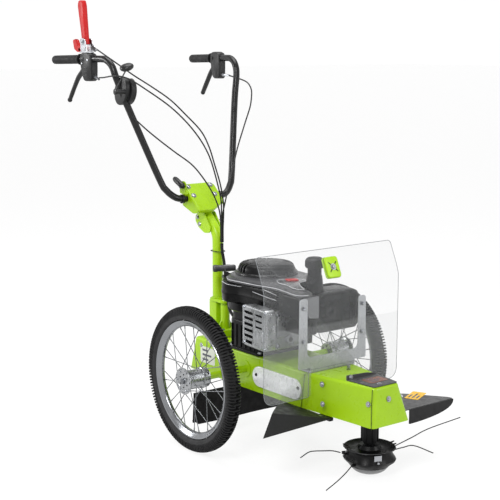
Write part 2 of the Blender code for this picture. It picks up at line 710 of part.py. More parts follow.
def handlebar():
    """The bar, its grips, the two control perches and the throttle."""
    right = [Vector((x, -y, z)) for x, y, z in BAR_PATH]
    left = [Vector((x, y, z)) for x, y, z in BAR_PATH]
    path = list(reversed(right)) + left
    bore_path = [2 * path[0] - path[1]] + path[1:-1] + [2 * path[-1] - path[-2]]
    bar = cut(tube(path, BAR_R, resolution=3), tube(bore_path, BAR_R - BAR_WALL, resolution=2))
    keep(bar, "handlebar_tube", BLACK, 0.35)

    for name, sign in (("right", -1), ("left", 1)):
        start = side(GRIP_FROM, sign)
        along = side(GRIP_TO, sign) - start
        end = along.length
        profile = ((BAR_R + GAP, 0.0), (GRIP_R + 0.004, 0.0), (GRIP_R + 0.004, 0.005),
                   (GRIP_R, 0.007), (GRIP_R, end - 0.006), (GRIP_R - 0.004, end), (0.0, end),
                   (0.0, end - 0.006), (BAR_R + GAP, end - 0.006))
        keep(turned(profile, start, along, 20), name + "_grip", RUBBER, 0.8)

        centre = start - along.normalized() * 0.048
        turn = -sign * PERCH_TURN
        body = soften(box(centre + Vector((0, 0, -0.026)), PERCH_SIZE, 0, turn), 0.005)
        nozzle = rod(centre + Vector((0.020, 0, -0.052)), centre + Vector((0.062, 0, -0.064)), 0.006, 10)
        body = join(body, nozzle)
        bore = rod(centre - along, centre + along, BAR_R + GAP, 20)
        mouth = centre + along.normalized() * 0.036 + Vector((0, 0, -0.034))
        slot = box(mouth, (0.080, 0.0155, 0.034), 0, turn)
        keep(cut(body, bore, slot), name + "_perch", BLACK, 0.45)

    drive_lever()
    left_lever()
    clutch_lever()
    throttle()


LEVER_PIVOT = Vector((-0.733, 0.3030, 1.3035))


def drive_lever():
    """The curved lever with a ball end, under the right grip."""
    pivot = side(LEVER_PIVOT, -1)
    path = [pivot, pivot + Vector((-0.028, 0, -0.020)), pivot + Vector((-0.052, -0.002, -0.040)),
            pivot + Vector((-0.080, -0.005, -0.078)), pivot + Vector((-0.112, -0.008, -0.126))]
    lever = tube(smooth(path, 0.016), 0.0055, resolution=2)
    lever = join(lever, ball(path[-1], 0.009))
    keep(lever, "drive_lever", BLACK, 0.3)


def left_lever():
    """The straight lever under the left grip."""
    pivot = side(LEVER_PIVOT, 1)
    end = pivot + Vector((-0.100, 0.008, -0.112))
    lever = tube([pivot, pivot + Vector((-0.030, 0.001, -0.026)), end], 0.0055, resolution=2)
    keep(join(lever, ball(end, 0.009)), "brake_lever", BLACK, 0.3)


CLUTCH_PIVOT = Vector((-0.722, -0.3035, 1.4000))
CATCH_PIVOT = Vector((-0.764, -0.3065, 1.3690))


def clutch_lever():
    """The tall red lever that tightens the belt, its bracket and the red catch."""
    pivot = CLUTCH_PIVOT
    cheeks = [box(pivot + Vector((0.0, dy, -0.0178)), (0.036, 0.004, 0.0478)) for dy in (-0.0145, 0.0145)]
    base = box(pivot + Vector((0.0, 0, -0.0392)), (0.052, 0.033, 0.005))
    ears = [box(CATCH_PIVOT + Vector((0.0105, dy, -0.001)), (0.041, 0.004, 0.018))
            for dy in (-0.0115, 0.0175)]
    bracket = join(base, *cheeks, *ears)
    keep(bracket, "clutch_bracket", SILVER, 0.4, 0.8)

    blade = slab(((-0.014, -0.012), (0.013, -0.012), (0.018, 0.060), (0.018, 0.135), (0.006, 0.152),
                  (-0.012, 0.152), (-0.022, 0.135), (-0.020, 0.060)), 0.020, "Y", 0.0)
    blade.location = pivot
    keep(soften(apply(blade), 0.004), "clutch_lever", RED, 0.3)

    catch = slab(((0.006, -0.006), (0.006, 0.006), (-0.016, 0.012), (-0.030, 0.036),
                  (-0.044, 0.034), (-0.036, 0.004), (-0.014, -0.006)), 0.016, "Y", 0.0)
    catch.location = CATCH_PIVOT + Vector((0, 0.003, 0))
    keep(soften(apply(catch), 0.002), "safety_catch", RED, 0.3)


THROTTLE_AT = Vector((-0.512, -0.2950, 1.218))


def throttle():
    """The throttle's oval housing on the right leg, and its lever with a round knob."""
    centre = THROTTLE_AT
    disc = [(centre.x + 0.046 * math.cos(2 * math.pi * k / 24),
             centre.z + 0.056 * math.sin(2 * math.pi * k / 24)) for k in range(24)]
    house = soften(slab(disc, 0.024, "Y", centre.y), 0.004)
    clamp = box((-0.5490, -0.2730, 1.222), (0.044, 0.050, 0.040), 15)
    house = join(house, clamp)
    leg_low = Vector((-0.529, -0.247, 1.163))
    leg_high = Vector((-0.556, -0.277, 1.266))
    bore = rod(leg_low + (leg_low - leg_high), leg_high + (leg_high - leg_low), BAR_R + GAP, 20)
    keep(cut(house, bore), "throttle_housing", BLACK, 0.4)

    pivot = centre + Vector((0, -0.012 - RUN - 0.002, 0))
    tip = pivot + Vector((0.082, 0.0, 0.084))
    arm = rod(pivot + Vector((0, 0.002, 0)), pivot - Vector((0, 0.003, 0)), 0.012, 16)
    stalk = rod(pivot, tip, 0.0022, 10)
    knob = ball(tip, 0.016, 14)
    keep(join(arm, stalk, knob), "throttle_lever", BLACK, 0.35)


# each control cable, from its control to the tie on the column
CABLE_R = 0.0027
CABLES = {
    "clutch_cable": (
        (-0.6280, -0.3090, 1.3670), (-0.5558, -0.2940, 1.3322), (-0.5117, -0.2708, 1.3022),
        (-0.4749, -0.2494, 1.2758), (-0.4227, -0.2077, 1.2359), (-0.3760, -0.1610, 1.1908),
        (-0.3372, -0.1222, 1.1391), (-0.2960, -0.0810, 1.0779), (-0.2754, -0.0604, 1.0218),
        (-0.2634, -0.0460, 0.9618), (-0.2540, -0.0260, 0.8850), (-0.2600, -0.0080, 0.8200),
        (-0.2700, 0.0010, 0.7700), (-0.2750, 0.0020, 0.7150), (-0.2750, 0.0020, 0.6620)),
    "drive_cable": (
        (-0.6430, -0.3010, 1.2610), (-0.6050, -0.3200, 1.2670), (-0.5565, -0.3311, 1.2690),
        (-0.4903, -0.3335, 1.2760), (-0.4520, -0.3260, 1.2760), (-0.4252, -0.2986, 1.2640),
        (-0.3900, -0.2500, 1.2260), (-0.3449, -0.1900, 1.1730), (-0.3124, -0.1450, 1.1220),
        (-0.2886, -0.1080, 1.0700), (-0.2740, -0.0800, 1.0210), (-0.2620, -0.0600, 0.9680),
        (-0.2540, -0.0380, 0.8860), (-0.2600, -0.0180, 0.8230), (-0.2710, -0.0080, 0.7700),
        (-0.2750, -0.0042, 0.7150), (-0.2750, -0.0042, 0.6620)),
    "throttle_cable": (
        (-0.4680, -0.2650, 1.1290), (-0.4370, -0.2310, 1.0860), (-0.4020, -0.1920, 1.0430),
        (-0.3640, -0.1500, 1.0000), (-0.3240, -0.1050, 0.9560), (-0.2980, -0.0750, 0.9100),
        (-0.2850, -0.0420, 0.8550), (-0.2820, -0.0180, 0.8050), (-0.2812, -0.0070, 0.7650),
        (-0.2812, -0.0042, 0.7150), (-0.2812, -0.0042, 0.6620)),
    "brake_cable": (
        (-0.6410, 0.3010, 1.2660), (-0.5850, 0.3150, 1.2530), (-0.5430, 0.3220, 1.2390),
        (-0.5210, 0.3240, 1.2140), (-0.5110, 0.3180, 1.1870), (-0.4970, 0.3000, 1.1460),
        (-0.4760, 0.2600, 1.0880), (-0.4300, 0.1900, 1.0030), (-0.3900, 0.1400, 0.9440),
        (-0.3350, 0.0750, 0.8770), (-0.2920, 0.0270, 0.8180), (-0.2830, 0.0060, 0.7650),
        (-0.2812, 0.0022, 0.7150), (-0.2812, 0.0022, 0.6620)),
}
# the four cables run on in one sleeve, from the tie to the engine
SLEEVE_R = 0.0058
SLEEVE_ROUTE = ((-0.2780, -0.0010, 0.6580), (-0.2775, -0.0010, 0.6300), (-0.2730, 0.0040, 0.5900),
                (-0.2700, 0.0080, 0.5400), (-0.2620, 0.0080, 0.4980), (-0.2350, -0.0060, 0.4620),
                (-0.1950, -0.0280, 0.4240), (-0.1455, -0.0400, 0.4000))


def cables():
    """Bowden cables from the controls to the tie, and the sleeve from the tie to the engine."""
    for name, route in CABLES.items():
        keep(tube(smooth(route, 0.013), CABLE_R, resolution=2), name, BLACK, 0.5)
    keep(tube(smooth(SLEEVE_ROUTE, 0.016), SLEEVE_R, resolution=2), "cable_sleeve", BLACK, 0.6)


# ---------------------------------------------------------------- build

# the point on each moving piece's joint axis
PIVOTS = {
    "wheel_right_spoked_hub": (0.0, -TRACK / 2, AXLE_Z),
    "wheel_left_spoked_hub": (0.0, TRACK / 2, AXLE_Z),
    "crankshaft": (CRANK_X, 0.0, BELT_Z),
    "spindle_shaft": (HEAD_X, 0.0, BELT_Z),
    "glide_dish": (HEAD_X, 0.0, 0.0),
    "idler_arm": (IDLER_X, IDLER_Y, BELT_Z),
    "steering_column": (BARREL_X, 0.0, BARREL_Z[1]),
    "handlebar_tube": (BAR_X, 0.0, BAR_Z),
    "drive_lever": side(LEVER_PIVOT, -1),
    "brake_lever": side(LEVER_PIVOT, 1),
    "clutch_lever": CLUTCH_PIVOT,
    "throttle_lever": THROTTLE_AT,
    "lock_knob": (-0.411, -0.0835, 0.8675),
    "fuel_cap": (0.250, 0.0, 0.643),
    "starter_grip": STARTER_AT,
    "safety_catch": CATCH_PIVOT,
}


def set_origin(obj, place):
    """Move the object's origin to a point of its joint's axis, leaving the shape where it is."""
    place = Vector(place)
    for vertex in obj.data.vertices:
        vertex.co -= place
    obj.location = place


def build():
    """Make every piece, give the moving ones their origins and shift the machine."""
    for obj in list(bpy.data.objects):
        bpy.data.objects.remove(obj)
    wheel("wheel_right", -1)
    wheel("wheel_left", 1)
    chassis()
    guards()
    drive()
    cutting_head()
    engine()
    starter()
    shield()
    column()
    handlebar()
    cables()
    for name, place in PIVOTS.items():
        set_origin(bpy.data.objects[name], place)
    for obj in collection(COLLECTION).objects:
        obj.location.x += AXLE_X
    for obj in list(collection(CUTTERS).objects):
        obj.location.x += AXLE_X


build()
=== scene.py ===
"""The looks of a wheeled brush mower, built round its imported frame.

Places are in the machine's own metres: x forward from the wheel axle, y to the machine's left, z up
from the ground. piece() moves each finished mesh from there into the frame.
"""
import math

import bmesh
import bpy
from mathutils import Matrix, Vector


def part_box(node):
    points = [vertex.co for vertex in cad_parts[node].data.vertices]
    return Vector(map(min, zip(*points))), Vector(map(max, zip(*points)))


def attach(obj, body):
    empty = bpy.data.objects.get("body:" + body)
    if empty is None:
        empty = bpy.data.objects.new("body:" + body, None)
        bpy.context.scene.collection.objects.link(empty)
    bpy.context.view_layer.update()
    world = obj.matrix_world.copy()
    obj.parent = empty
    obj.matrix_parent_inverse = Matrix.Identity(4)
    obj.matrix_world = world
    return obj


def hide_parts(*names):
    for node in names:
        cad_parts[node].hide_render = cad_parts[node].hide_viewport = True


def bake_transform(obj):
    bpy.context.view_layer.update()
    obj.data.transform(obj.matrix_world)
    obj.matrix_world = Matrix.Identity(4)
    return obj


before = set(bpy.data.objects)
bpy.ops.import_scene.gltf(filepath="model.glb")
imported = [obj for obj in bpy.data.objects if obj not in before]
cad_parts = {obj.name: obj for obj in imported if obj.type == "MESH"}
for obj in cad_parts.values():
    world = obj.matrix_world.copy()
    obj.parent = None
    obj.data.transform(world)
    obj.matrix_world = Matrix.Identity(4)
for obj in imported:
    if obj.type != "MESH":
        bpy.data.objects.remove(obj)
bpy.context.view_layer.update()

TYRE_LOW, TYRE_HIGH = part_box("wheel_right_tyre")
AXLE_X = (TYRE_LOW.x + TYRE_HIGH.x) / 2
AXLE_Z = (TYRE_LOW.z + TYRE_HIGH.z) / 2
WHEEL_Y = -(TYRE_LOW.y + TYRE_HIGH.y) / 2
TYRE_R = (TYRE_HIGH.z - TYRE_LOW.z) / 2
HEAD_X = sum(v.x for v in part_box("glide_dish")) / 2 - AXLE_X
X, Y, Z = Vector((1, 0, 0)), Vector((0, 1, 0)), Vector((0, 0, 1))


# ---------------------------------------------------------------- mesh helpers

def turn(axis, degrees):
    """A rotation matrix about an axis."""
    return Matrix.Rotation(math.radians(degrees), 3, axis)


def facing(axis):
    """The rotation that takes +Z onto the axis."""
    return Vector(axis).to_track_quat("Z", "Y").to_matrix()


def lathe(bm, profile, origin=(0, 0, 0), axis=(0, 0, 1), steps=48, loop=False):
    """Spin (radius, height) points about an axis."""
    spin, origin, rings = facing(axis), Vector(origin), []
    for radius, height in profile:
        count = 1 if radius == 0 else steps
        ring = []
        for k in range(count):
            angle = 2 * math.pi * k / steps
            ring.append(bm.verts.new(origin + spin @ Vector((radius * math.cos(angle),
                                                             radius * math.sin(angle), height))))
        rings.append(ring)
    pairs = list(zip(rings, rings[1:])) + ([(rings[-1], rings[0])] if loop else [])
    for low, high in pairs:
        for k in range(steps):
            corners = [low[k % len(low)], low[(k + 1) % len(low)],
                       high[(k + 1) % len(high)], high[k % len(high)]]
            corners = list(dict.fromkeys(corners))
            if len(corners) > 2:
                bm.faces.new(corners)


def rod(bm, start, end, radius, end_radius=None, sides=20):
    """A closed cylinder or cone between two points."""
    start, end = Vector(start), Vector(end)
    far = radius if end_radius is None else end_radius
    length = (end - start).length
    lathe(bm, ((0, 0), (radius, 0), (far, length), (0, length)), start, end - start, sides)


def dome(bm, centre, axis, radius, height, sides=20, rings=4):
    """A low round cap on a flat foot."""
    profile = [(0, 0)]
    for k in range(rings):
        angle = math.pi / 2 * k / rings
        profile.append((radius * math.cos(angle), height * math.sin(angle)))
    lathe(bm, profile + [(0, height)], centre, axis, sides)


def ball(bm, centre, radius, sides=20):
    """A sphere."""
    profile = [(0, -radius)]
    for k in range(1, sides // 2):
        angle = -math.pi / 2 + math.pi * k / (sides // 2)
        profile.append((radius * math.cos(angle), radius * math.sin(angle)))
    lathe(bm, profile + [(0, radius)], centre, Z, sides)


def sweep(bm, path, radius, sides=12, closed=False, section=None):
    """A round bar, or one of another section, along a path; radius may be one number or a list."""
    path = [Vector(p) for p in path]
    radii = radius if isinstance(radius, (list, tuple)) else [radius] * len(path)
    section = section or [(math.cos(2 * math.pi * k / sides), math.sin(2 * math.pi * k / sides))
                          for k in range(sides)]
    last, rings = None, []
    for i, point in enumerate(path):
        before = path[i - 1] if i or closed else point
        after = path[(i + 1) % len(path)] if i + 1 < len(path) or closed else point
        along = (after - before).normalized()
        if last is None:
            across = along.orthogonal().normalized() if abs(along.z) > 0.9 else along.cross(Z).normalized()
        else:
            across = (last - along * last.dot(along)).normalized()
        last, up = across, along.cross(across)
        rings.append([bm.verts.new(point + (across * u + up * v) * radii[i]) for u, v in section])
    count = len(section)
    for a, b in list(zip(rings, rings[1:])) + ([(rings[-1], rings[0])] if closed else []):
        for k in range(count):
            bm.faces.new((a[k], a[(k + 1) % count], b[(k + 1) % count], b[k]))
    if not closed:
        bm.faces.new(rings[0][::-1])
        bm.faces.new(rings[-1])


def smooth(points, spacing=0.01, closed=False):
    """Evenly spaced points on a smooth curve through the given ones."""
    path = [Vector(p) for p in points]
    if closed:
        path = [path[-1]] + path + path[:2]
    else:
        path = [2 * path[0] - path[1]] + path + [2 * path[-1] - path[-2]]
    dense = []
    for a, b, c, d in zip(path, path[1:], path[2:], path[3:]):
        for step in range(24):
            t = step / 24
            dense.append(0.5 * (2 * b + (c - a) * t + (2 * a - 5 * b + 4 * c - d) * t * t
                                + (3 * b - a - 3 * c + d) * t ** 3))
    if not closed:
        dense.append(path[-2])
    length = sum((q - p).length for p, q in zip(dense, dense[1:]))
    count, walked, result = max(2, round(length / spacing)), 0.0, [dense[0]]
    for p, q in zip(dense, dense[1:]):
        walked += (q - p).length
        if walked >= len(result) * length / count - 1e-9 and len(result) < count:
            result.append(q)
    return result if closed else result + [dense[-1]]


def rounded(outline, radius, steps=5):
    """The 2D outline with its corners rounded; radius may be one number or one for each corner."""
    result = []
    for i, corner in enumerate(outline):
        reach = radius[i] if isinstance(radius, (list, tuple)) else radius
        p, q, r = Vector(outline[i - 1]), Vector(corner), Vector(outline[(i + 1) % len(outline)])
        if reach == 0:
            result.append(tuple(q))
            continue
        a, b = (p - q), (r - q)
        cut = min(reach, 0.49 * a.length, 0.49 * b.length)
        a, b = q + a.normalized() * cut, q + b.normalized() * cut
        for k in range(steps + 1):
            t = k / steps
            result.append(tuple(a * (1 - t) ** 2 + q * 2 * t * (1 - t) + b * t * t))
    return result


def slab(bm, outline, thickness, origin=(0, 0, 0), u=X, v=Y, hollow=()):
    """A flat plate: the outline in the u, v plane, thick along u x v. Its holes are rings of points."""
    origin, u, v = Vector(origin), Vector(u).normalized(), Vector(v).normalized()
    w = u.cross(v).normalized() * thickness / 2
    edges = []
    for ring in [outline, *hollow]:
        low = [bm.verts.new(origin + u * a + v * b - w) for a, b in ring]
        high = [bm.verts.new(origin + u * a + v * b + w) for a, b in ring]
        for k in range(len(ring)):
            n = (k + 1) % len(ring)
            bm.faces.new((low[k], low[n], high[n], high[k]))
        edges.append((low, high))
    if not hollow:
        bm.faces.new(edges[0][0][::-1])
        bm.faces.new(edges[0][1])
        return
    for level in (0, 1):
        loop_edges = []
        for ring in edges:
            verts = ring[level]
            loop_edges += [bm.edges.get((verts[k], verts[(k + 1) % len(verts)])) for k in range(len(verts))]
        bmesh.ops.triangle_fill(bm, edges=loop_edges, use_beauty=True)


def circle(centre, radius, steps=16):
    """A ring of 2D points."""
    return [(centre[0] + radius * math.cos(2 * math.pi * k / steps),
             centre[1] + radius * math.sin(2 * math.pi * k / steps)) for k in range(steps)]


def stadium(a, b, radius, steps=10):
    """A 2D slot outline between two centres on one level."""
    result = []
    for centre, first in ((a, math.pi / 2), (b, -math.pi / 2)):
        for k in range(steps + 1):
            angle = first + math.pi * k / steps
            result.append((centre[0] + radius * math.cos(angle), centre[1] + radius * math.sin(angle)))
    return result


def block(bm, centre, size, rotation=None, bevel=0.0, segments=3):
    """A box with rounded edges."""
    made = bmesh.ops.create_cube(bm, size=1.0)["verts"]
    for vert in made:
        vert.co = Vector([vert.co[i] * size[i] for i in range(3)])
    if bevel:
        edges = list({edge for vert in made for edge in vert.link_edges})
        new = bmesh.ops.bevel(bm, geom=edges, offset=bevel, segments=segments, profile=0.5, affect="EDGES")
        made = list({v for v in new["verts"]} | {v for v in made if v.is_valid})
    for vert in made:
        vert.co = Vector(centre) + (rotation @ vert.co if rotation else vert.co)


def loft(bm, rings, cap=True, closed=True):
    """Skin a list of rings that have the same number of points."""
    rows = [[bm.verts.new(p) for p in ring] for ring in rings]
    count = len(rows[0])
    for a, b in zip(rows, rows[1:]):
        for k in range(count if closed else count - 1):
            n = (k + 1) % count
            bm.faces.new((a[k], a[n], b[n], b[k]))
    if cap:
        bm.faces.new(rows[0][::-1])
        bm.faces.new(rows[-1])
    return rows


def shrink(outline, amount):
    """Move each point of a closed 2D outline (anticlockwise) inwards."""
    result = []
    for i, point in enumerate(outline):
        p, r = Vector(outline[i - 1]), Vector(outline[(i + 1) % len(outline)])
        along = (r - p).normalized()
        result.append((point[0] - along.y * amount, point[1] + along.x * amount))
    return result


def casting(bm, outline, low, high, round_low=0.0, round_high=0.008, steps=5, lean=0.0):
    """An upright body from a plan outline, its top and bottom edges rounded; lean tapers it upwards."""
    rings = []
    for k in range(steps + 1 if round_low else 1):
        angle = math.pi / 2 * k / steps
        inset = round_low * (1 - math.sin(angle)) if round_low else 0.0
        height = low + (round_low * (1 - math.cos(angle)) if round_low else 0.0)
        rings.append([(x, y, height) for x, y in shrink(outline, inset)])
    for k in range(steps + 1):
        angle = math.pi / 2 * k / steps
        inset = lean + round_high * (1 - math.cos(angle))
        height = high - round_high * (1 - math.sin(angle))
        rings.append([(x, y, height) for x, y in shrink(outline, inset)])
    loft(bm, rings)


def hex_bolt(bm, at, axis, radius=0.0065, height=0.0045, washer=True):
    """A hexagon head on a washer, with a slightly domed top."""
    at, axis = Vector(at), Vector(axis).normalized()
    if washer:
        rod(bm, at, at + axis * 0.0012, radius * 1.45, sides=24)
    lathe(bm, ((0, 0), (radius, 0), (radius, height * 0.85), (radius * 0.86, height), (0, height)),
          at + axis * 0.0012, axis, 6)


def socket_bolt(bm, at, axis, radius=0.006, height=0.004):
    """A round button head with a sunk drive."""
    lathe(bm, ((0, 0), (radius, 0), (radius * 0.97, height * 0.5), (radius * 0.75, height * 0.92),
               (radius * 0.42, height), (radius * 0.40, height * 0.35), (0, height * 0.35)), at, axis, 24)


def piece(name, bm, body, material, replaces=(), bevel=0.0, angle=38, segments=2):
    """Turn the mesh into a piece of the model, in the frame and riding on its body."""
    bmesh.ops.remove_doubles(bm, verts=bm.verts, dist=1e-6)
    bmesh.ops.recalc_face_normals(bm, faces=bm.faces)
    mesh = bpy.data.meshes.new(name)
    bm.to_mesh(mesh)
    bm.free()
    mesh.transform(Matrix.Translation((AXLE_X, 0, 0)))
    mesh.shade_smooth()
    mesh.set_sharp_from_angle(angle=math.radians(angle))
    obj = bpy.data.objects.new(name, mesh)
    bpy.context.scene.collection.objects.link(obj)
    for one in material if isinstance(material, (list, tuple)) else [material]:
        mesh.materials.append(one)
    if bevel:
        modifier = obj.modifiers.new("edges", "BEVEL")
        modifier.width = bevel
        modifier.segments = segments
        modifier.limit_method = "ANGLE"
        modifier.angle_limit = math.radians(40)
        modifier.harden_normals = True
    if body:
        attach(obj, body)
    if replaces:
        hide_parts(*replaces)
    return obj


# ---------------------------------------------------------------- materials

def finish_of(name, colour, rough=0.5, metal=0.0, grain=600.0, bump=0.15, vary=0.10, rough_vary=0.12,
              stretch=(1, 1, 1), coat=0.0, deep=0.0006, dust=None, dust_height=0.25, gleam=0.5):
    """A surface with soft colour drift, uneven gloss and a fine grain; dust dulls its low parts."""
    material = bpy.data.materials.new(name)
    material.use_nodes = True
    nodes, links = material.node_tree.nodes, material.node_tree.links
    shader = nodes["Principled BSDF"]
    shader.inputs["Metallic"].default_value = metal
    shader.inputs["Coat Weight"].default_value = coat
    shader.inputs["Coat Roughness"].default_value = 0.12
    shader.inputs["Specular IOR Level"].default_value = gleam
    place = nodes.new("ShaderNodeTexCoord")
    scaled = nodes.new("ShaderNodeMapping")
    scaled.inputs["Scale"].default_value = stretch
    links.new(place.outputs["Object"], scaled.inputs["Vector"])

    def noise(scale, detail):
        made = nodes.new("ShaderNodeTexNoise")
        made.inputs["Scale"].default_value = scale
        made.inputs["Detail"].default_value = detail
        links.new(scaled.outputs["Vector"], made.inputs["Vector"])
        return made.outputs["Fac"]

    def spread(value, low, high, start=0.3, end=0.7):
        made = nodes.new("ShaderNodeMapRange")
        for socket, number in (("From Min", start), ("From Max", end), ("To Min", low), ("To Max", high)):
            made.inputs[socket].default_value = number
        links.new(value, made.inputs["Value"])
        return made.outputs["Result"]

    def mixed(amount, first, second):
        made = nodes.new("ShaderNodeMix")
        made.data_type = "RGBA"
        links.new(amount, made.inputs["Factor"])
        for number, value in ((6, first), (7, second)):
            if isinstance(value, tuple):
                made.inputs[number].default_value = (*value, 1.0)
            else:
                links.new(value, made.inputs[number])
        return made.outputs[2]

    dark = tuple(max(0.0, c * (1 - vary)) for c in colour)
    light = tuple(min(1.0, c * (1 + vary)) for c in colour)
    tone = mixed(spread(noise(14.0, 4.0), 0.0, 1.0), dark, light)
    gloss = spread(noise(46.0, 6.0), max(0.03, rough - rough_vary), min(1.0, rough + rough_vary))
    if dust:
        height = nodes.new("ShaderNodeSeparateXYZ")
        links.new(place.outputs["Object"], height.inputs["Vector"])
        low = spread(height.outputs["Z"], 0.35, 0.0, 0.0, dust_height)
        patchy = nodes.new("ShaderNodeMath")
        patchy.operation = "MULTIPLY"
        links.new(low, patchy.inputs[0])
        links.new(spread(noise(30.0, 5.0), 0.0, 1.0), patchy.inputs[1])
        tone = mixed(patchy.outputs["Value"], tone, dust)
    links.new(tone, shader.inputs["Base Color"])
    links.new(gloss, shader.inputs["Roughness"])
    ripple = nodes.new("ShaderNodeBump")
    ripple.inputs["Strength"].default_value = bump
    ripple.inputs["Distance"].default_value = deep
    links.new(noise(grain, 3.0), ripple.inputs["Height"])
    links.new(ripple.outputs["Normal"], shader.inputs["Normal"])
    return material


def clear_finish():
    """Clear plastic sheet: see-through and glossy, and a little hazier low down, where grass hits it."""
    material = finish_of("clear_sheet", (0.40, 0.41, 0.42), 0.12, grain=200.0, bump=0.02, vary=0.02)
    nodes, links = material.node_tree.nodes, material.node_tree.links
    shader = nodes["Principled BSDF"]
    place = nodes.new("ShaderNodeTexCoord")
    height = nodes.new("ShaderNodeSeparateXYZ")
    haze = nodes.new("ShaderNodeMapRange")
    for socket, number in (("From Min", FOLD_Z - 0.145), ("From Max", FOLD_Z - 0.137),
                           ("To Min", 0.150), ("To Max", 0.075)):
        haze.inputs[socket].default_value = number
    links.new(place.outputs["Object"], height.inputs["Vector"])
    links.new(height.outputs["Z"], haze.inputs["Value"])
    links.new(haze.outputs["Result"], shader.inputs["Alpha"])
    return material


FOLD_Z = 0.612


def srgb(red, green, blue):
    """A linear colour from 0 to 255 screen values."""
    result = []
    for value in (red, green, blue):
        value /= 255
        result.append(value / 12.92 if value <= 0.04045 else ((value + 0.055) / 1.055) ** 2.4)
    return tuple(result)


DUST = srgb(120, 110, 90)
GREEN = finish_of("green_paint", srgb(140, 178, 0), 0.34, grain=900, bump=0.08, vary=0.04, coat=0.10,
                  deep=0.0004, gleam=0.35)
GREEN_SIDE = finish_of("green_cast", srgb(152, 192, 6), 0.36, grain=700, bump=0.12, vary=0.06, coat=0.10,
                       deep=0.0005, gleam=0.35)
# Black paint; also the black discs and lining painted as shade in the hubs' holes and the starter grip's hollow.
BLACK_PAINT_AND_SHADE = finish_of("black_paint", srgb(14, 14, 15), 0.30, grain=900, bump=0.10, vary=0.20, gleam=0.35,
                        dust=DUST, dust_height=0.14)
GREY_PAINT = finish_of("grey_steel", srgb(66, 66, 67), 0.36, metal=0.3, grain=700, bump=0.12, vary=0.10,
                       gleam=0.35)
RUBBER = finish_of("tyre_rubber", srgb(20, 20, 21), 0.72, grain=420, bump=0.35, vary=0.20, deep=0.0008,
                   gleam=0.25)
WALL = finish_of("tyre_wall", srgb(36, 36, 37), 0.60, grain=520, bump=0.25, vary=0.12, deep=0.0006,
                 gleam=0.30)
GRIP_RUBBER = finish_of("grip_rubber", srgb(26, 26, 27), 0.60, grain=800, bump=0.4, vary=0.12, deep=0.0006,
                        gleam=0.30)
FLAP_RUBBER = finish_of("flap_rubber", srgb(12, 12, 13), 0.72, grain=380, bump=0.35, vary=0.14, deep=0.0008,
                        gleam=0.20)
# Black plastic for the right deflector; on the left deflector's skirt it is painted shade.
DEFLECTOR_AND_SHADE = finish_of("deflector_plastic_and_painted_shade", srgb(14, 14, 15), 0.52, grain=520, bump=0.25, vary=0.12,
                      deep=0.0006, gleam=0.30)
RIM_METAL = finish_of("rim_metal", srgb(140, 142, 145), 0.22, metal=1.0, grain=300, bump=0.04, vary=0.06)
HUB_METAL = finish_of("hub_metal", srgb(160, 162, 164), 0.28, metal=1.0, grain=260, bump=0.02, vary=0.06,
                      stretch=(1, 8, 1))
ZINC = finish_of("zinc", srgb(166, 168, 172), 0.28, metal=1.0, grain=700, bump=0.05, vary=0.08)
STEEL = finish_of("bare_steel", srgb(112, 114, 117), 0.34, metal=1.0, grain=700, bump=0.04, vary=0.08,
                  stretch=(1, 6, 1))
STAY_METAL = finish_of("stay_aluminium", srgb(176, 178, 181), 0.36, metal=0.8, grain=260, bump=0.10,
                       vary=0.04, stretch=(14, 14, 1))
CAST = finish_of("cast_aluminium", srgb(150, 152, 154), 0.36, metal=0.9, grain=900, bump=0.45, vary=0.14,
                 deep=0.0009)
GUARD_METAL = finish_of("muffler_steel", srgb(172, 174, 176), 0.30, metal=0.95, grain=600, bump=0.16,
                        vary=0.08)
ENGINE_BLACK = finish_of("engine_plastic", srgb(6, 6, 7), 0.36, grain=1100, bump=0.25, vary=0.14,
                         deep=0.0004, gleam=0.16)
TRIM_GREY = finish_of("trim_plastic", srgb(58, 58, 60), 0.34, grain=1000, bump=0.20, vary=0.10, gleam=0.4)
PANEL_GREY = finish_of("trim_panel", srgb(40, 40, 43), 0.24, grain=900, bump=0.08, vary=0.08, coat=0.2)
# Light grey: painted highlight streaks on the blower, and the light lines on the trim and the throttle's scale.
ACCENT_AND_HIGHLIGHT = finish_of("accent_and_painted_highlight", srgb(186, 187, 190), 0.35, grain=600, bump=0.06, vary=0.04)
TANK_BLACK = finish_of("tank_plastic", srgb(9, 9, 10), 0.32, grain=800, bump=0.18, vary=0.10, gleam=0.16)
CAP_BLACK = finish_of("cap_plastic", srgb(22, 22, 23), 0.42, grain=900, bump=0.25, vary=0.10, gleam=0.35)
RED_PLASTIC = finish_of("red_plastic", srgb(168, 12, 12), 0.42, grain=900, bump=0.12, vary=0.06,
                        gleam=0.25)
LEVER_BLACK = finish_of("lever_plastic", srgb(18, 18, 19), 0.36, grain=800, bump=0.18, vary=0.12, gleam=0.35)
CONTROL = finish_of("control_plastic", srgb(24, 24, 25), 0.42, grain=900, bump=0.22, vary=0.12, gleam=0.35)
NYLON = finish_of("line_nylon", srgb(16, 16, 16), 0.40, grain=500, bump=0.12, vary=0.12, gleam=0.3)
CABLE = finish_of("cable_cover", srgb(16, 16, 17), 0.45, grain=700, bump=0.12, vary=0.12, gleam=0.3)
SLEEVE = finish_of("sleeve_braid", srgb(20, 20, 21), 0.66, grain=1400, bump=0.5, vary=0.12, deep=0.0008,
                   gleam=0.3)
ROPE = finish_of("starter_cord", srgb(50, 50, 50), 0.8, grain=1600, bump=0.5, vary=0.2, deep=0.0008)
COVER_WHITE = finish_of("cover_metal", srgb(226, 228, 230), 0.30, metal=0.25, grain=200, bump=0.02, vary=0.03)
DISH_GREY = finish_of("dish_steel", srgb(134, 134, 135), 0.36, metal=0.8, grain=500, bump=0.25, vary=0.14)
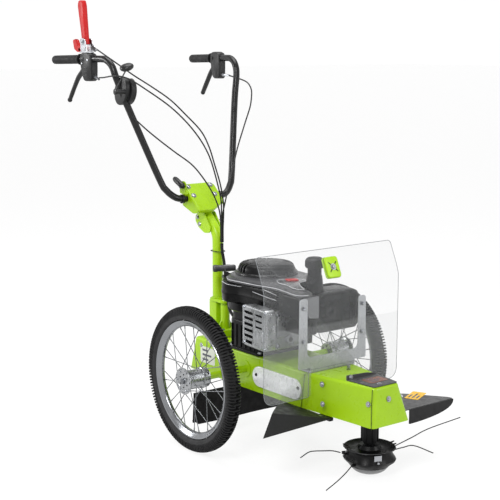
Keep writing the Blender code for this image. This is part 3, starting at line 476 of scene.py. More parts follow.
STARTER_GREY = finish_of("starter_plastic", srgb(64, 64, 66), 0.30, metal=0.3, grain=800, bump=0.12,
                         vary=0.06)
MILKY = finish_of("trim_side", srgb(104, 105, 107), 0.40, grain=400, bump=0.08, vary=0.05)
LABEL_YELLOW = finish_of("label_yellow", srgb(222, 172, 0), 0.34, grain=400, bump=0.04, vary=0.04)
LABEL_WHITE = finish_of("label_white", srgb(206, 210, 196), 0.34, grain=400, bump=0.04, vary=0.03)
LABEL_BROWN = finish_of("label_brown", srgb(104, 64, 50), 0.36, grain=400, bump=0.04, vary=0.10)
LABEL_BAR = finish_of("label_bars", srgb(70, 72, 84), 0.40, grain=400, bump=0.04, vary=0.06)
FLOOR = finish_of("studio_floor", srgb(108, 108, 108), 0.80, grain=3.0, bump=0.0, vary=0.004, gleam=0.1)
FLOOR.node_tree.nodes["Principled BSDF"].inputs["Emission Color"].default_value = (1, 1, 1, 1)
FLOOR.node_tree.nodes["Principled BSDF"].inputs["Emission Strength"].default_value = 0.84
SHEET_EDGE = finish_of("sheet_edge", srgb(118, 121, 124), 0.24, grain=300, bump=0.02, vary=0.04)
SHEET = clear_finish()


# ---------------------------------------------------------------- camera, floor and light

def camera():
    """The photograph's angle: seen from the front right, from a little above the bars."""
    data = bpy.data.cameras.new("camera")
    data.lens, data.sensor_width, data.clip_end = 86.90, 36.0, 200.0
    holder = bpy.data.objects.new("camera", data)
    holder.location = (3.30024 + AXLE_X, -2.62792, 1.38846)
    holder.rotation_euler = (math.pi / 2 - math.radians(9.6652), 0, math.radians(52.370))
    bpy.context.scene.collection.objects.link(holder)
    bpy.context.scene.camera = holder


def lamp(name, place, aim, size, power):
    """A square soft light that looks at a point."""
    data = bpy.data.lights.new(name, "AREA")
    data.shape, data.size, data.energy = "SQUARE", size, power
    holder = bpy.data.objects.new(name, data)
    holder.location = place
    holder.rotation_euler = (Vector(aim) - Vector(place)).to_track_quat("-Z", "Y").to_euler()
    bpy.context.scene.collection.objects.link(holder)


SKY_LOW, SKY_HIGH = 1.01, 0.62


def studio():
    """A pale floor under a white sky, and three soft lights."""
    bm = bmesh.new()
    bmesh.ops.create_grid(bm, x_segments=24, y_segments=24, size=60)
    floor = piece("studio_floor", bm, None, FLOOR)
    world = bpy.data.worlds.new("sky")
    world.use_nodes = True
    nodes, links = world.node_tree.nodes, world.node_tree.links
    place, split = nodes.new("ShaderNodeTexCoord"), nodes.new("ShaderNodeSeparateXYZ")
    height = nodes.new("ShaderNodeMapRange")
    for socket, number in (("From Min", 0.05), ("From Max", 0.75), ("To Min", SKY_LOW), ("To Max", SKY_HIGH)):
        height.inputs[socket].default_value = number
    links.new(place.outputs["Generated"], split.inputs["Vector"])
    links.new(split.outputs["Z"], height.inputs["Value"])
    links.new(height.outputs["Result"], nodes["Background"].inputs["Strength"])
    nodes["Background"].inputs["Color"].default_value = (1.0, 1.0, 1.0, 1.0)
    bpy.context.scene.world = world
    bpy.context.scene.view_settings.view_transform = "Standard"
    lamp("key", (2.2, -3.0, 3.6), (0, 0, 0.7), 1.4, 120)
    lamp("strip", (-2.6, -2.6, 1.9), (0, 0, 0.8), 1.0, 45)
    lamp("fill", (3.8, 1.6, 2.0), (0, 0, 0.6), 1.6, 40)
    lamp("top", (-0.6, 0.2, 4.2), (0, 0, 0.6), 2.4, 90)


# ---------------------------------------------------------------- cords

CABLE_R = 0.0027
SLEEVE_R = 0.0058
LINE_R = 0.0018
ROPE_R = 0.002
CABLES = {
    "clutch_cable": (
        (-0.6280, -0.3090, 1.3670), (-0.5558, -0.2940, 1.3322), (-0.5117, -0.2708, 1.3022),
        (-0.4749, -0.2494, 1.2758), (-0.4227, -0.2077, 1.2359), (-0.3760, -0.1610, 1.1908),
        (-0.3372, -0.1222, 1.1391), (-0.2960, -0.0810, 1.0779), (-0.2754, -0.0604, 1.0218),
        (-0.2634, -0.0460, 0.9618), (-0.2540, -0.0260, 0.8850), (-0.2600, -0.0080, 0.8200),
        (-0.2700, 0.0010, 0.7700), (-0.2750, 0.0020, 0.7150), (-0.2750, 0.0020, 0.6620)),
    "drive_cable": (
        (-0.6430, -0.3010, 1.2610), (-0.6050, -0.3200, 1.2670), (-0.5565, -0.3311, 1.2690),
        (-0.4903, -0.3335, 1.2760), (-0.4520, -0.3260, 1.2760), (-0.4252, -0.2986, 1.2640),
        (-0.3900, -0.2500, 1.2260), (-0.3449, -0.1900, 1.1730), (-0.3124, -0.1450, 1.1220),
        (-0.2886, -0.1080, 1.0700), (-0.2740, -0.0800, 1.0210), (-0.2620, -0.0600, 0.9680),
        (-0.2540, -0.0380, 0.8860), (-0.2600, -0.0180, 0.8230), (-0.2710, -0.0080, 0.7700),
        (-0.2750, -0.0042, 0.7150), (-0.2750, -0.0042, 0.6620)),
    "throttle_cable": (
        (-0.4680, -0.2650, 1.1290), (-0.4370, -0.2310, 1.0860), (-0.4020, -0.1920, 1.0430),
        (-0.3640, -0.1500, 1.0000), (-0.3240, -0.1050, 0.9560), (-0.2980, -0.0750, 0.9100),
        (-0.2850, -0.0420, 0.8550), (-0.2820, -0.0180, 0.8050), (-0.2812, -0.0070, 0.7650),
        (-0.2812, -0.0042, 0.7150), (-0.2812, -0.0042, 0.6620)),
    "brake_cable": (
        (-0.6410, 0.3010, 1.2660), (-0.5850, 0.3150, 1.2530), (-0.5430, 0.3220, 1.2390),
        (-0.5210, 0.3240, 1.2140), (-0.5110, 0.3180, 1.1870), (-0.4970, 0.3000, 1.1460),
        (-0.4760, 0.2600, 1.0880), (-0.4300, 0.1900, 1.0030), (-0.3900, 0.1400, 0.9440),
        (-0.3350, 0.0750, 0.8770), (-0.2920, 0.0270, 0.8180), (-0.2830, 0.0060, 0.7650),
        (-0.2812, 0.0022, 0.7150), (-0.2812, 0.0022, 0.6620)),
}
SLEEVE_ROUTE = ((-0.2780, -0.0010, 0.6580), (-0.2775, -0.0010, 0.6300), (-0.2730, 0.0040, 0.5900),
                (-0.2700, 0.0080, 0.5400), (-0.2620, 0.0080, 0.4980), (-0.2350, -0.0060, 0.4620),
                (-0.1950, -0.0280, 0.4240), (-0.1455, -0.0400, 0.4000))
LINE_ROUTES = (
    ((0.4765, -0.0765, 0.068), (0.470, -0.105, 0.078), (0.458, -0.135, 0.081),
     (0.435, -0.155, 0.078), (0.422, -0.168, 0.073), (0.408, -0.190, 0.055)),
    ((0.5500, -0.0945, 0.045), (0.566, -0.133, 0.036), (0.574, -0.177, 0.020), (0.581, -0.229, 0.0045)),
    ((0.5600, 0.0885, 0.078), (0.566, 0.165, 0.095), (0.572, 0.235, 0.112), (0.590, 0.370, 0.130)),
    ((0.5560, 0.0920, 0.064), (0.566, 0.125, 0.068), (0.579, 0.160, 0.070), (0.631, 0.199, 0.050)),
)
STARTER_AT = Vector((-0.216, -0.036, 0.577))
STARTER_LIE = Vector((0.45, 0.89, 0.0)).normalized()
STARTER_HALF = 0.042


def make_cord(name, route, radius, spacing, material, body=None, bodies=None):
    """A tube along the route that takes the place of the CAD cord; it rides on one body, or, given bodies, stays
    unparented with its placing baked into the mesh.
    """
    path = smooth(route, spacing)
    bm = bmesh.new()
    sweep(bm, path, radius, 10)
    obj = piece(name + "_skin", bm, body, material, replaces=(name,))
    if bodies:
        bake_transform(obj)
    return obj


def cords():
    """The four cables, their sleeve, the starter's rope and the four cutting lines."""
    for name, route in CABLES.items():
        make_cord(name, route, CABLE_R, 0.013, CABLE,
                  bodies=("handlebar", "column"))
    make_cord("cable_sleeve", SLEEVE_ROUTE, SLEEVE_R, 0.016, SLEEVE,
              bodies=("column", "frame"))
    for number, route in enumerate(LINE_ROUTES):
        make_cord("cutting_line_%d" % (number + 1), route, LINE_R, 0.010, NYLON,
                  body="cutter")
    across = Vector((STARTER_LIE.y, -STARTER_LIE.x, 0.0))
    rope = [STARTER_AT + across * 0.0110, STARTER_AT + across * 0.022 + Vector((0, 0, -0.005)),
            Vector((-0.1815, -0.0445, 0.560))]
    make_cord("starter_rope", rope[::-1], ROPE_R, 0.004, ROPE,
              bodies=("frame", "starter_grip"))


# ---------------------------------------------------------------- wheels

def wheel(side):
    """One wheel: tyre with a ribbed tread, rim, crossed spokes, hub and drive coupling."""
    name = "wheel_right" if side < 0 else "wheel_left"
    out, centre = Y * side, Vector((0, side * WHEEL_Y, AXLE_Z))

    def at(radius, angle, height):
        return centre + X * radius * math.cos(angle) + Z * radius * math.sin(angle) + out * height

    half = ((0.2068, 0.0135), (0.2100, 0.0170), (0.2150, 0.0195), (0.2220, 0.0208), (0.2290, 0.0208),
            (0.2340, 0.0196), (0.2380, 0.0175), (0.2415, 0.0120), (0.2434, 0.0060), (0.2440, 0.0))
    profile = [(r, -h) for r, h in half] + list(half[-2::-1])
    bm = bmesh.new()
    lathe(bm, profile, centre, out, 120, loop=True)
    for ring, height in ((0.2150, 0.0196), (0.2230, 0.0209)):
        for face in (-1, 1):
            lathe(bm, ((ring - 0.0012, face * (height - 0.001)), (ring, face * (height + 0.0002)),
                       (ring + 0.0012, face * (height - 0.001))), centre, out, 120, loop=True)
    piece(name + "_tyre_wall", bm, name, WALL, replaces=(name + "_tyre",), angle=60)

    bm = bmesh.new()
    stations = ((-0.0236, 0.2350), (-0.0232, 0.2425), (-0.0200, 0.2480), (-0.0130, 0.2518), (-0.0060, 0.2534),
                (0.0, 0.2538), (0.0060, 0.2534), (0.0130, 0.2518), (0.0200, 0.2480), (0.0232, 0.2425),
                (0.0236, 0.2350))
    rows = 148
    for row in range(rows):
        middle, wide = 2 * math.pi * row / rows, 2 * math.pi / rows * 0.29
        blocks = ((0, 3), (3, 7), (7, 10)) if row % 2 else ((0, 4), (6, 10))
        for first, last in blocks:
            rings = []
            for height, top in stations[first:last + 1]:
                base = top - 0.0110
                shift = 0.0 if row % 2 else abs(height) * 0.10
                rings.append([at(base, middle - wide + shift, height), at(top, middle - wide * 0.8 + shift, height),
                              at(top, middle + wide * 0.8 + shift, height),
                              at(base, middle + wide + shift, height)])
            loft(bm, rings)
    piece(name + "_tread", bm, name, RUBBER, angle=50)

    half = ((0.2060, 0.0150), (0.2050, 0.0163), (0.2010, 0.0163), (0.1990, 0.0140), (0.1930, 0.0105),
            (0.1865, 0.0075), (0.1842, 0.0030))
    back = ((0.1960, -0.0030), (0.1975, -0.0085), (0.2030, -0.0120))
    bm = bmesh.new()
    lathe(bm, list(half) + [(r, -h) for r, h in half[::-1]] + [(r, h) for r, h in back[::-1]]
          + [(r, -h) for r, h in back], centre, out, 120, loop=True)
    piece(name + "_rim_ring", bm, name, RIM_METAL, replaces=(name + "_rim",), angle=50)

    bm = bmesh.new()
    spokes = 28
    for k in range(spokes):
        outer = k % 2 == 0
        lean = math.radians(46 if (k // 2) % 2 else -46)
        angle = 2 * math.pi * k / spokes
        low = at(0.0400 if outer else 0.0330, angle + lean, 0.0352 if outer else -0.0325)
        high = at(0.1875, angle, 0.0035 if outer else -0.0035)
        rod(bm, low, high, 0.0015, sides=8)
        rod(bm, high - (high - low).normalized() * 0.012, high, 0.0021, sides=8)
        head = at(0.0400 if outer else 0.0330, angle + lean, 0.0430 if outer else -0.0275)
        ball(bm, head - out * 0.0014 if outer else head, 0.0020, 8)
    piece(name + "_spokes", bm, name, STEEL, angle=50)

    bm = bmesh.new()
    lathe(bm, ((0.0102, -0.0540), (0.0325, -0.0540), (0.0342, -0.0525), (0.0342, -0.0365), (0.0350, -0.0355),
               (0.0368, -0.0348), (0.0368, -0.0306), (0.0350, -0.0298), (0.0336, -0.0288), (0.0330, -0.0100),
               (0.0330, 0.0240), (0.0340, 0.0320), (0.0440, 0.0352), (0.0460, 0.0370), (0.0460, 0.0405),
               (0.0445, 0.0420), (0.0405, 0.0412), (0.0310, 0.0404), (0.0300, 0.0388), (0.0165, 0.0386),
               (0.0150, 0.0400), (0.0102, 0.0400)), centre, out, 72)
    piece(name + "_hub_body", bm, name, HUB_METAL, replaces=(name + "_spoked_hub",), angle=35)

    # Painted shade: thin black discs on the hub's faces and barrel stand in for the dark insides of its holes.
    bm = bmesh.new()
    for k in range(6):
        angle = 2 * math.pi * (k + 0.5) / 6
        lathe(bm, ((0, 0.0), (0.0030, 0.0), (0.0030, 0.0004), (0, 0.0004)), at(0.0225, angle, 0.0391), out, 16)
        lathe(bm, ((0, 0.0), (0.0052, 0.0), (0.0052, 0.0005), (0, 0.0005)), at(0.0235, angle, -0.0540),
              -out, 16)
    for k in range(10):
        angle = 2 * math.pi * k / 10
        rod(bm, at(0.0330, angle, -0.0445), at(0.0347, angle, -0.0445), 0.0044, sides=16)
    piece(name + "_hub_holes", bm, name, BLACK_PAINT_AND_SHADE, angle=50)

    bm = bmesh.new()
    lathe(bm, ((0.0102, 0.0), (0.0125, 0.0), (0.0125, 0.0012), (0.0102, 0.0012)), at(0, 0, 0.0402), out, 24)
    hex_bolt(bm, at(0, 0, 0.0412), out, 0.0090, 0.0035, washer=False)
    for k in range(6):
        angle = 2 * math.pi * k / 6
        hex_bolt(bm, at(0.0350, angle, 0.0405), out, 0.0032, 0.0018, washer=False)
    piece(name + "_hub_bolts", bm, name, ZINC, angle=30)


# ---------------------------------------------------------------- chassis

def pan(bm, low, top, low_z, top_z, radii, fillet=0.011, wall=0.003):
    """A pressed steel pan, open below: its plan at the foot and at the top, with a rounded top edge."""
    low, top = rounded(low, radii, 6), rounded(top, radii, 6)
    reach = min(p[0] for p in low), max(p[0] for p in low)

    def ring(share, inset, height):
        points = []
        for (a, b), (c, d) in zip(shrink(low, inset), shrink(top, inset)):
            part = (a - reach[0]) / (reach[1] - reach[0])
            foot = low_z[0] + (low_z[1] - low_z[0]) * max(0.0, min(1.0, part))
            points.append((a + (c - a) * share, b + (d - b) * share, foot + (height - foot) * share))
        return points

    skin = []
    for inset, drop in ((wall, wall), (0.0, 0.0)):
        bend = fillet - inset
        rings = [ring(0.0, inset, top_z - drop), ring(0.5, inset, top_z - drop - bend)]
        for k in range(7):
            angle = math.pi / 2 * k / 6
            height = top_z - drop - bend * (1 - math.sin(angle))
            rings.append(ring(1.0, inset + bend * (1 - math.cos(angle)), height))
        skin.append(rings)
    loft(bm, skin[0][::-1] + skin[1])


def chassis():
    """The pressed chassis and rear frame, with their bolts, seam and stickers."""
    bm = bmesh.new()
    pan(bm, [(-0.100, -0.104), (0.315, -0.104), (0.634, -0.083), (0.634, 0.083), (0.315, 0.104),
             (-0.100, 0.104)],
        [(-0.100, -0.104), (0.335, -0.104), (0.612, -0.056), (0.612, 0.056), (0.335, 0.104),
         (-0.100, 0.104)],
        (0.182, 0.188), 0.312, [0.002, 0.05, 0.018, 0.018, 0.05, 0.002])
    piece("chassis_shell", bm, "frame", GREEN, replaces=("chassis",), angle=50)

    bm = bmesh.new()
    pan(bm, [(-0.352, -0.100), (-0.1003, -0.100), (-0.1003, 0.100), (-0.352, 0.100)],
        [(-0.318, -0.100), (-0.1003, -0.100), (-0.1003, 0.100), (-0.318, 0.100)],
        (0.182, 0.182), 0.311, [0.014, 0.002, 0.002, 0.014])
    piece("rear_frame_shell", bm, "frame", GREEN_SIDE, replaces=("rear_frame",), angle=50)

    bm = bmesh.new()
    side = (Vector((0.299, 0.0, 0.0)) - Vector((0.0, -0.021, 0))).normalized()
    lean = Vector((0.14, -0.98, 0.18)).normalized()
    for place in ((0.4061, -0.0978, 0.2872), (0.4239, -0.1099, 0.2263), (0.5992, -0.0711, 0.2603)):
        spot = Vector(place)
        hex_bolt(bm, spot, lean, 0.0062, 0.0042)
        hex_bolt(bm, Vector((spot.x, -spot.y, spot.z)), Vector((lean.x, -lean.y, lean.z)), 0.0062, 0.0042)
    hex_bolt(bm, (0.6195, -0.001, 0.2701), (0.985, 0, 0.17), 0.0065, 0.0045)
    for x in (-0.150, -0.275):
        for y in (-1, 1):
            hex_bolt(bm, (x, y * 0.0995, 0.285), (0, y, 0), 0.0060, 0.0040)
    for y in (-0.060, 0.060):
        hex_bolt(bm, (-0.3215, y, 0.282), (-0.97, 0, 0.25), 0.0060, 0.0040)
    piece("chassis_bolts", bm, "frame", ZINC, angle=30)

    bm = bmesh.new()
    points = [Vector((0.6085, -0.0628, 0.3085)), Vector((0.6190, -0.0760, 0.2480)),
              Vector((0.6300, -0.0858, 0.1895))]
    sweep(bm, points, 0.0011, 8)
    points = [Vector((0.3250, -0.1046, 0.305)), Vector((0.3165, -0.1046, 0.240)), Vector((0.3080, -0.1046, 0.184))]
    sweep(bm, points, 0.0009, 8)
    piece("chassis_seams", bm, "frame", BLACK_PAINT_AND_SHADE, angle=60)

    bm = bmesh.new()
    slab(bm, rounded([(0.488, -0.066), (0.602, -0.052), (0.606, -0.046), (0.606, 0.046), (0.602, 0.052),
                      (0.488, 0.066)], 0.005), 0.003, (0, 0, 0.3138))
    flange = rounded([(-0.066, 0.3130), (0.066, 0.3130), (0.066, 0.3180), (0.020, 0.3260), (-0.066, 0.3300)], 0.003)
    slab(bm, flange, 0.003, (0.4895, 0, 0), Y, Z)
    piece("front_plate", bm, "frame", GREY_PAINT, replaces=("front_top_plate",),
          bevel=0.0008)
    bm = bmesh.new()
    hex_bolt(bm, (0.4910, -0.0480, 0.3215), X, 0.0058, 0.0044)
    hex_bolt(bm, (0.4880, -0.0480, 0.3215), -X, 0.0058, 0.0044)
    hex_bolt(bm, (0.5890, -0.0140, 0.3153), Z, 0.0058, 0.0030)
    piece("front_plate_bolts", bm, "frame", ZINC, angle=30)


def axle_tubes():
    """The green tubes that carry the axle from the chassis out to the hubs."""
    bm = bmesh.new()
    for side in (-1, 1):
        lathe(bm, ((0.0105, 0.0), (0.0130, 0.0), (0.0130, 0.1690), (0.0105, 0.1690)),
              (0, side * 0.1045, AXLE_Z), (0, side, 0), 36, loop=True)
        lathe(bm, ((0.0132, 0.0), (0.0300, 0.0), (0.0300, 0.0030), (0.0132, 0.0030)),
              (0, side * 0.1042, AXLE_Z), (0, side, 0), 40, loop=True)
    piece("axle_tubes", bm, "frame", GREEN, angle=40)


def access_cover():
    """The bright stadium-shaped cover on the chassis side, with a pressed lip and two screws."""
    bm = bmesh.new()
    face = Vector((0, -1, 0))
    depths = ((0.0, 0.0), (0.0, 0.0045), (0.0006, 0.0058), (0.0018, 0.0066), (0.0036, 0.0068),
              (0.0050, 0.0064), (0.0064, 0.0068))
    rings = []
    for inset, depth in depths:
        ring = stadium((0.084, 0.243), (0.276, 0.243), 0.036 - inset, 14)
        rings.append([Vector((x, -0.1043, z)) + face * depth for x, z in ring])
    loft(bm, rings)
    piece("access_cover_plate", bm, "frame", COVER_WHITE, replaces=("access_cover",),
          angle=35)
    bm = bmesh.new()
    for place in ((0.0709, -0.1110, 0.2489), (0.2985, -0.1110, 0.2520)):
        socket_bolt(bm, place, face, 0.0060, 0.0030)
    piece("access_cover_screws", bm, "frame", BLACK_PAINT_AND_SHADE, angle=35)


# ---------------------------------------------------------------- guards

def plate(bm, corners, thickness, bend=None):
    """A thin sheet from a grid of points, rows of equal length."""
    rows = [[Vector(p) for p in row] for row in corners]
    low = [[bm.verts.new(p) for p in row] for row in rows]
    high = []
    for i, row in enumerate(rows):
        made = []
        for k, point in enumerate(row):
            along = rows[min(i + 1, len(rows) - 1)][k] - rows[max(i - 1, 0)][k]
            across = row[min(k + 1, len(row) - 1)] - row[max(k - 1, 0)]
            made.append(bm.verts.new(point + along.cross(across).normalized() * thickness))
        high.append(made)
    for level in (low, high):
        for a, b in zip(level, level[1:]):
            for k in range(len(a) - 1):
                bm.faces.new((a[k], a[k + 1], b[k + 1], b[k]))
    count, wide = len(rows), len(rows[0])
    rim = [(0, k) for k in range(wide)] + [(i, wide - 1) for i in range(1, count)]
    rim += [(count - 1, k) for k in range(wide - 2, -1, -1)] + [(i, 0) for i in range(count - 2, 0, -1)]
    for (a, b), (c, d) in zip(rim, rim[1:] + rim[:1]):
        bm.faces.new((low[a][b], low[c][d], high[c][d], high[a][b]))


def guards():
    """The rear flap and the two deflectors beside the cutting head, with painted shade on the left one's skirt."""
    bm = bmesh.new()
    rows = []
    for k in range(13):
        share = k / 12
        bulge = -0.006 * math.sin(share * math.pi * 0.5) ** 2
        row = []
        for j in range(25):
            y = -0.286 + 0.572 * j / 24
            trim = 0.018 * max(0.0, abs(y) - 0.262) / 0.024 if k == 12 else 0.0
            row.append((-0.0632 + bulge * (0.6 + 0.4 * math.cos(y * 22)), y, 0.1815 - 0.119 * share + trim))
        rows.append(row)
    plate(bm, rows, 0.003)
    piece("rear_flap", bm, "frame", FLAP_RUBBER, replaces=("rear_guard",), angle=50)

    bm = bmesh.new()
    block(bm, (-0.0660, 0, 0.1700), (0.003, 0.560, 0.018), bevel=0.001)
    for y in (-0.24, -0.12, 0.0, 0.12, 0.24):
        hex_bolt(bm, (-0.0645, y, 0.1700), (1, 0, 0), 0.0055, 0.0038)
    piece("rear_flap_strip", bm, "frame", ZINC, angle=35)

    bm = bmesh.new()
    corners = [bm.verts.new(p) for p in ((0.193, -0.1000, 0.1812), (0.455, -0.1000, 0.1812),
                                         (0.400, -0.304, 0.223), (0.446, -0.3765, 0.168))]
    for face in ((0, 1, 2), (2, 1, 3)):
        bm.faces.new([corners[k] for k in face])
    bmesh.ops.subdivide_edges(bm, edges=bm.edges[:], cuts=5, use_grid_fill=True)
    bmesh.ops.solidify(bm, geom=bm.faces[:], thickness=0.003)
    piece("right_deflector_sheet", bm, "frame", DEFLECTOR_AND_SHADE,
          replaces=("right_deflector",), angle=12)
    bm = bmesh.new()
    block(bm, (0.418, -0.092, 0.1760), (0.062, 0.018, 0.012), bevel=0.003)
    piece("deflector_bracket", bm, "frame", BLACK_PAINT_AND_SHADE, angle=35)

    bm = bmesh.new()
    rows = []
    inner, outer = 0.1045, 0.369
    for k in range(17):
        angle = math.pi / 2 * k / 16
        y = outer - (outer - 0.160) * (1 - math.cos(angle))
        z = 0.187 - 0.048 * math.sin(angle) ** 0.8
        rows.append([(0.552, y, 0.1878), (0.5527, y, 0.186 + (z - 0.186) * 0.5), (0.552, y, z)])
    plate(bm, rows, 0.003)
    top = rounded([(0.385, inner), (0.385, 0.262), (0.533, 0.372), (0.5505, 0.3735), (0.5525, inner)],
                  [0.0, 0.05, 0.03, 0.006, 0.0])
    slab(bm, top[::-1], 0.003, (0, 0, 0.1875))
    piece("left_deflector_sheet", bm, "frame", GREY_PAINT, replaces=("left_deflector",),
          bevel=0.0006, angle=35)

    # Painted shade: a thin black skin laid over the front of the grey skirt, darkening it as if in shadow.
    bm = bmesh.new()
    rows = []
    for k in range(17):
        angle = math.pi / 2 * k / 16
        y = outer + 0.001 - (outer - 0.160) * (1 - math.cos(angle))
        z = 0.1865 - 0.048 * math.sin(angle) ** 0.8
        rows.append([(0.5555, y, 0.1885), (0.5560, y, z + (0.1885 - z) * 0.4), (0.5555, y, z)])
    plate(bm, rows, 0.0008)
    piece("left_deflector_skirt", bm, "frame", DEFLECTOR_AND_SHADE, angle=50)

    bm = bmesh.new()
    for place in ((0.230, -0.118, 0.1835), (0.420, -0.118, 0.1835)):
        hex_bolt(bm, place, (0, -0.1, 1), 0.0058, 0.0042)
    for place in ((0.410, 0.125, 0.1892), (0.520, 0.125, 0.1892)):
        hex_bolt(bm, place, Z, 0.0058, 0.0042)
    piece("deflector_bolts", bm, "frame", ZINC, angle=30)


def sticker(name, centre, u, v, wide, tall, ground, bars=3, lift=0.0004, body="frame"):
    """A plain label with a few generic bars: nothing to read."""
    centre, u, v = Vector(centre), Vector(u).normalized(), Vector(v).normalized()
    w = u.cross(v).normalized()
    bm = bmesh.new()
    slab(bm, rounded([(-wide / 2, -tall / 2), (wide / 2, -tall / 2), (wide / 2, tall / 2), (-wide / 2, tall / 2)],
                     min(wide, tall) * 0.12), 0.0005, centre + w * lift, u, v)
    piece(name, bm, body, ground, angle=30)
    bm = bmesh.new()
    for k in range(bars):
        height = tall * (0.28 - 0.56 * k / max(1, bars - 1))
        length = wide * (0.62 if k % 2 else 0.40)
        slab(bm, rounded([(-wide * 0.36, -tall * 0.06), (-wide * 0.36 + length, -tall * 0.06),
                          (-wide * 0.36 + length, tall * 0.06), (-wide * 0.36, tall * 0.06)], tall * 0.02),
             0.0005, centre + w * (lift + 0.0003) + v * height, u, v)
    piece(name + "_bars", bm, body, LABEL_BAR, angle=30)


def stickers():
    """The generic labels on the deflector, the front plate and the rear frame."""
    sticker("deflector_label", (0.452, 0.292, 0.1890), (-0.42, 0.90, 0), (-0.90, -0.42, 0), 0.092, 0.050,
            LABEL_YELLOW)
    sticker("front_plate_label", (0.545, 0.008, 0.3153), (0, 1, 0), (-1, 0, 0), 0.078, 0.050, LABEL_BROWN)
    sticker("rear_frame_label", (-0.235, -0.1000, 0.252), (1, 0, 0), (0, 0, 1), 0.090, 0.062, LABEL_WHITE)


# ---------------------------------------------------------------- cutting head

def head():
    """The spindle housing, the cup that holds the lines, and the glide dish."""
    centre = Vector((HEAD_X, 0, 0))
    bm = bmesh.new()
    lathe(bm, ((0, 0.102), (0.0215, 0.102), (0.0215, 0.108), (0.0285, 0.110), (0.0290, 0.170), (0.0320, 0.178),
               (0.0320, 0.1925), (0, 0.1925)), centre, Z, 48)
    for k in range(8):
        angle = 2 * math.pi * (k + 0.5) / 8
        spot = centre + Vector((math.cos(angle), math.sin(angle), 0)) * 0.0275
        block(bm, spot + Z * 0.148, (0.0075, 0.0050, 0.076), turn(Z, math.degrees(angle)), bevel=0.0015,
              segments=2)
    outline = rounded([(0.470, -0.087), (0.600, -0.076), (0.600, 0.076), (0.470, 0.087)], 0.012)
    slab(bm, outline, 0.0058, (0, 0, 0.1950))
    piece("spindle_casting", bm, "frame", ENGINE_BLACK, replaces=("spindle_housing",),
          angle=35)
    bm = bmesh.new()
    for x, y in ((0.490, -0.070), (0.585, -0.064), (0.490, 0.070), (0.585, 0.064)):
        hex_bolt(bm, (x, y, 0.1921), -Z, 0.0060, 0.0044)
    hex_bolt(bm, (0.566, -0.012, 0.175), (0.94, -0.34, 0), 0.0042, 0.0034)
    piece("spindle_bolts", bm, "frame", ZINC, angle=30)

    bm = bmesh.new()
    steps, rings = 96, []
    profile = ((0.0340, 0.0980, 0), (0.0400, 0.0860, 0), (0.0600, 0.0840, 0), (0.0780, 0.0880, 0.3),
               (0.0845, 0.0900, 0.6), (0.0860, 0.0880, 0.6), (0.0790, 0.0850, 0.3), (0.0740, 0.0800, 0.2),
               (0.0750, 0.0700, 0.5), (0.0820, 0.0600, 1), (0.0860, 0.0520, 1), (0.0820, 0.0440, 1),
               (0.0700, 0.0340, 0.4), (0.0660, 0.0292, 0))
    for radius, height, share in profile:
        ring = []
        for k in range(steps):
            angle = 2 * math.pi * k / steps
            wave = max(0.0, math.cos(4 * (angle - 0.62))) ** 0.6 * 0.0055 * share
            ring.append(centre + Vector((math.cos(angle), math.sin(angle), 0)) * (radius - 0.0030 * share + wave)
                        + Z * height)
        rings.append(ring)
    loft(bm, rings)
    for x, y in ((-0.0575, -0.0765), (0.0160, -0.0945), (0.0260, 0.0885), (0.0220, 0.0920)):
        direction = Vector((x, y, 0)).normalized()
        spot = centre + direction * 0.0800
        height = {-0.0575: 0.068, 0.0160: 0.045, 0.0260: 0.078, 0.0220: 0.064}[x]
        rod(bm, spot + Z * height, spot + Z * height + direction * 0.0110, 0.0062, 0.0048, 16)
    piece("head_cup_body", bm, "cutter", ENGINE_BLACK, replaces=("head_cup",), angle=40)

    bm = bmesh.new()
    lathe(bm, ((0.0838, 0.0898), (0.0846, 0.0908), (0.0856, 0.0898), (0.0846, 0.0888)), centre, Z, 96,
          loop=True)
    piece("head_cup_lip", bm, "cutter", GREY_PAINT, angle=60)

    bm = bmesh.new()
    for degrees in (-118, 62):
        angle = math.radians(degrees)
        direction = Vector((math.cos(angle), math.sin(angle), 0))
        for shift in (-0.012, 0.012):
            spot = centre + direction * 0.0810 + Vector((-direction.y, direction.x, 0)) * shift + Z * 0.0925
            rod(bm, spot - direction * 0.012, spot + direction * 0.006 + Z * 0.006, 0.0032, 0.0020, 10)
    piece("head_cup_fingers", bm, "cutter", BLACK_PAINT_AND_SHADE, angle=40)

    bm = bmesh.new()
    for degrees in (-22, 158):
        angle = math.radians(degrees)
        direction = Vector((math.cos(angle), math.sin(angle), 0))
        block(bm, centre + direction * 0.0755 + Z * 0.0640, (0.003, 0.026, 0.034), turn(Z, degrees),
              bevel=0.0010, segments=2)
        hex_bolt(bm, centre + direction * 0.0770 + Z * 0.0560, direction, 0.0046, 0.0036)
    piece("head_cup_plates", bm, "cutter", ZINC, angle=30)

    bm = bmesh.new()
    profile = [(0.0640, 0.0286), (0.0645, 0.0270)]
    for k in range(1, 13):
        angle = math.pi / 2 * k / 12
        profile.append((0.0615 * math.cos(angle) if k < 12 else 0, 0.0285 * (1 - math.sin(angle))))
    lathe(bm, [(0, 0.0286)] + profile, centre, Z, 64)
    piece("glide_dish_shell", bm, "dish", DISH_GREY, replaces=("glide_dish",),
          angle=30)


# ---------------------------------------------------------------- engine

CRANK_X = -0.035


def rectangle(width, height, radius, steps=5, centre=(0.0, 0.0)):
    """A rounded rectangle's outline, anticlockwise."""
    a, b = width / 2, height / 2
    corners = [(-a, -b), (a, -b), (a, b), (-a, b)]
    return rounded([(x + centre[0], y + centre[1]) for x, y in corners], radius, steps)


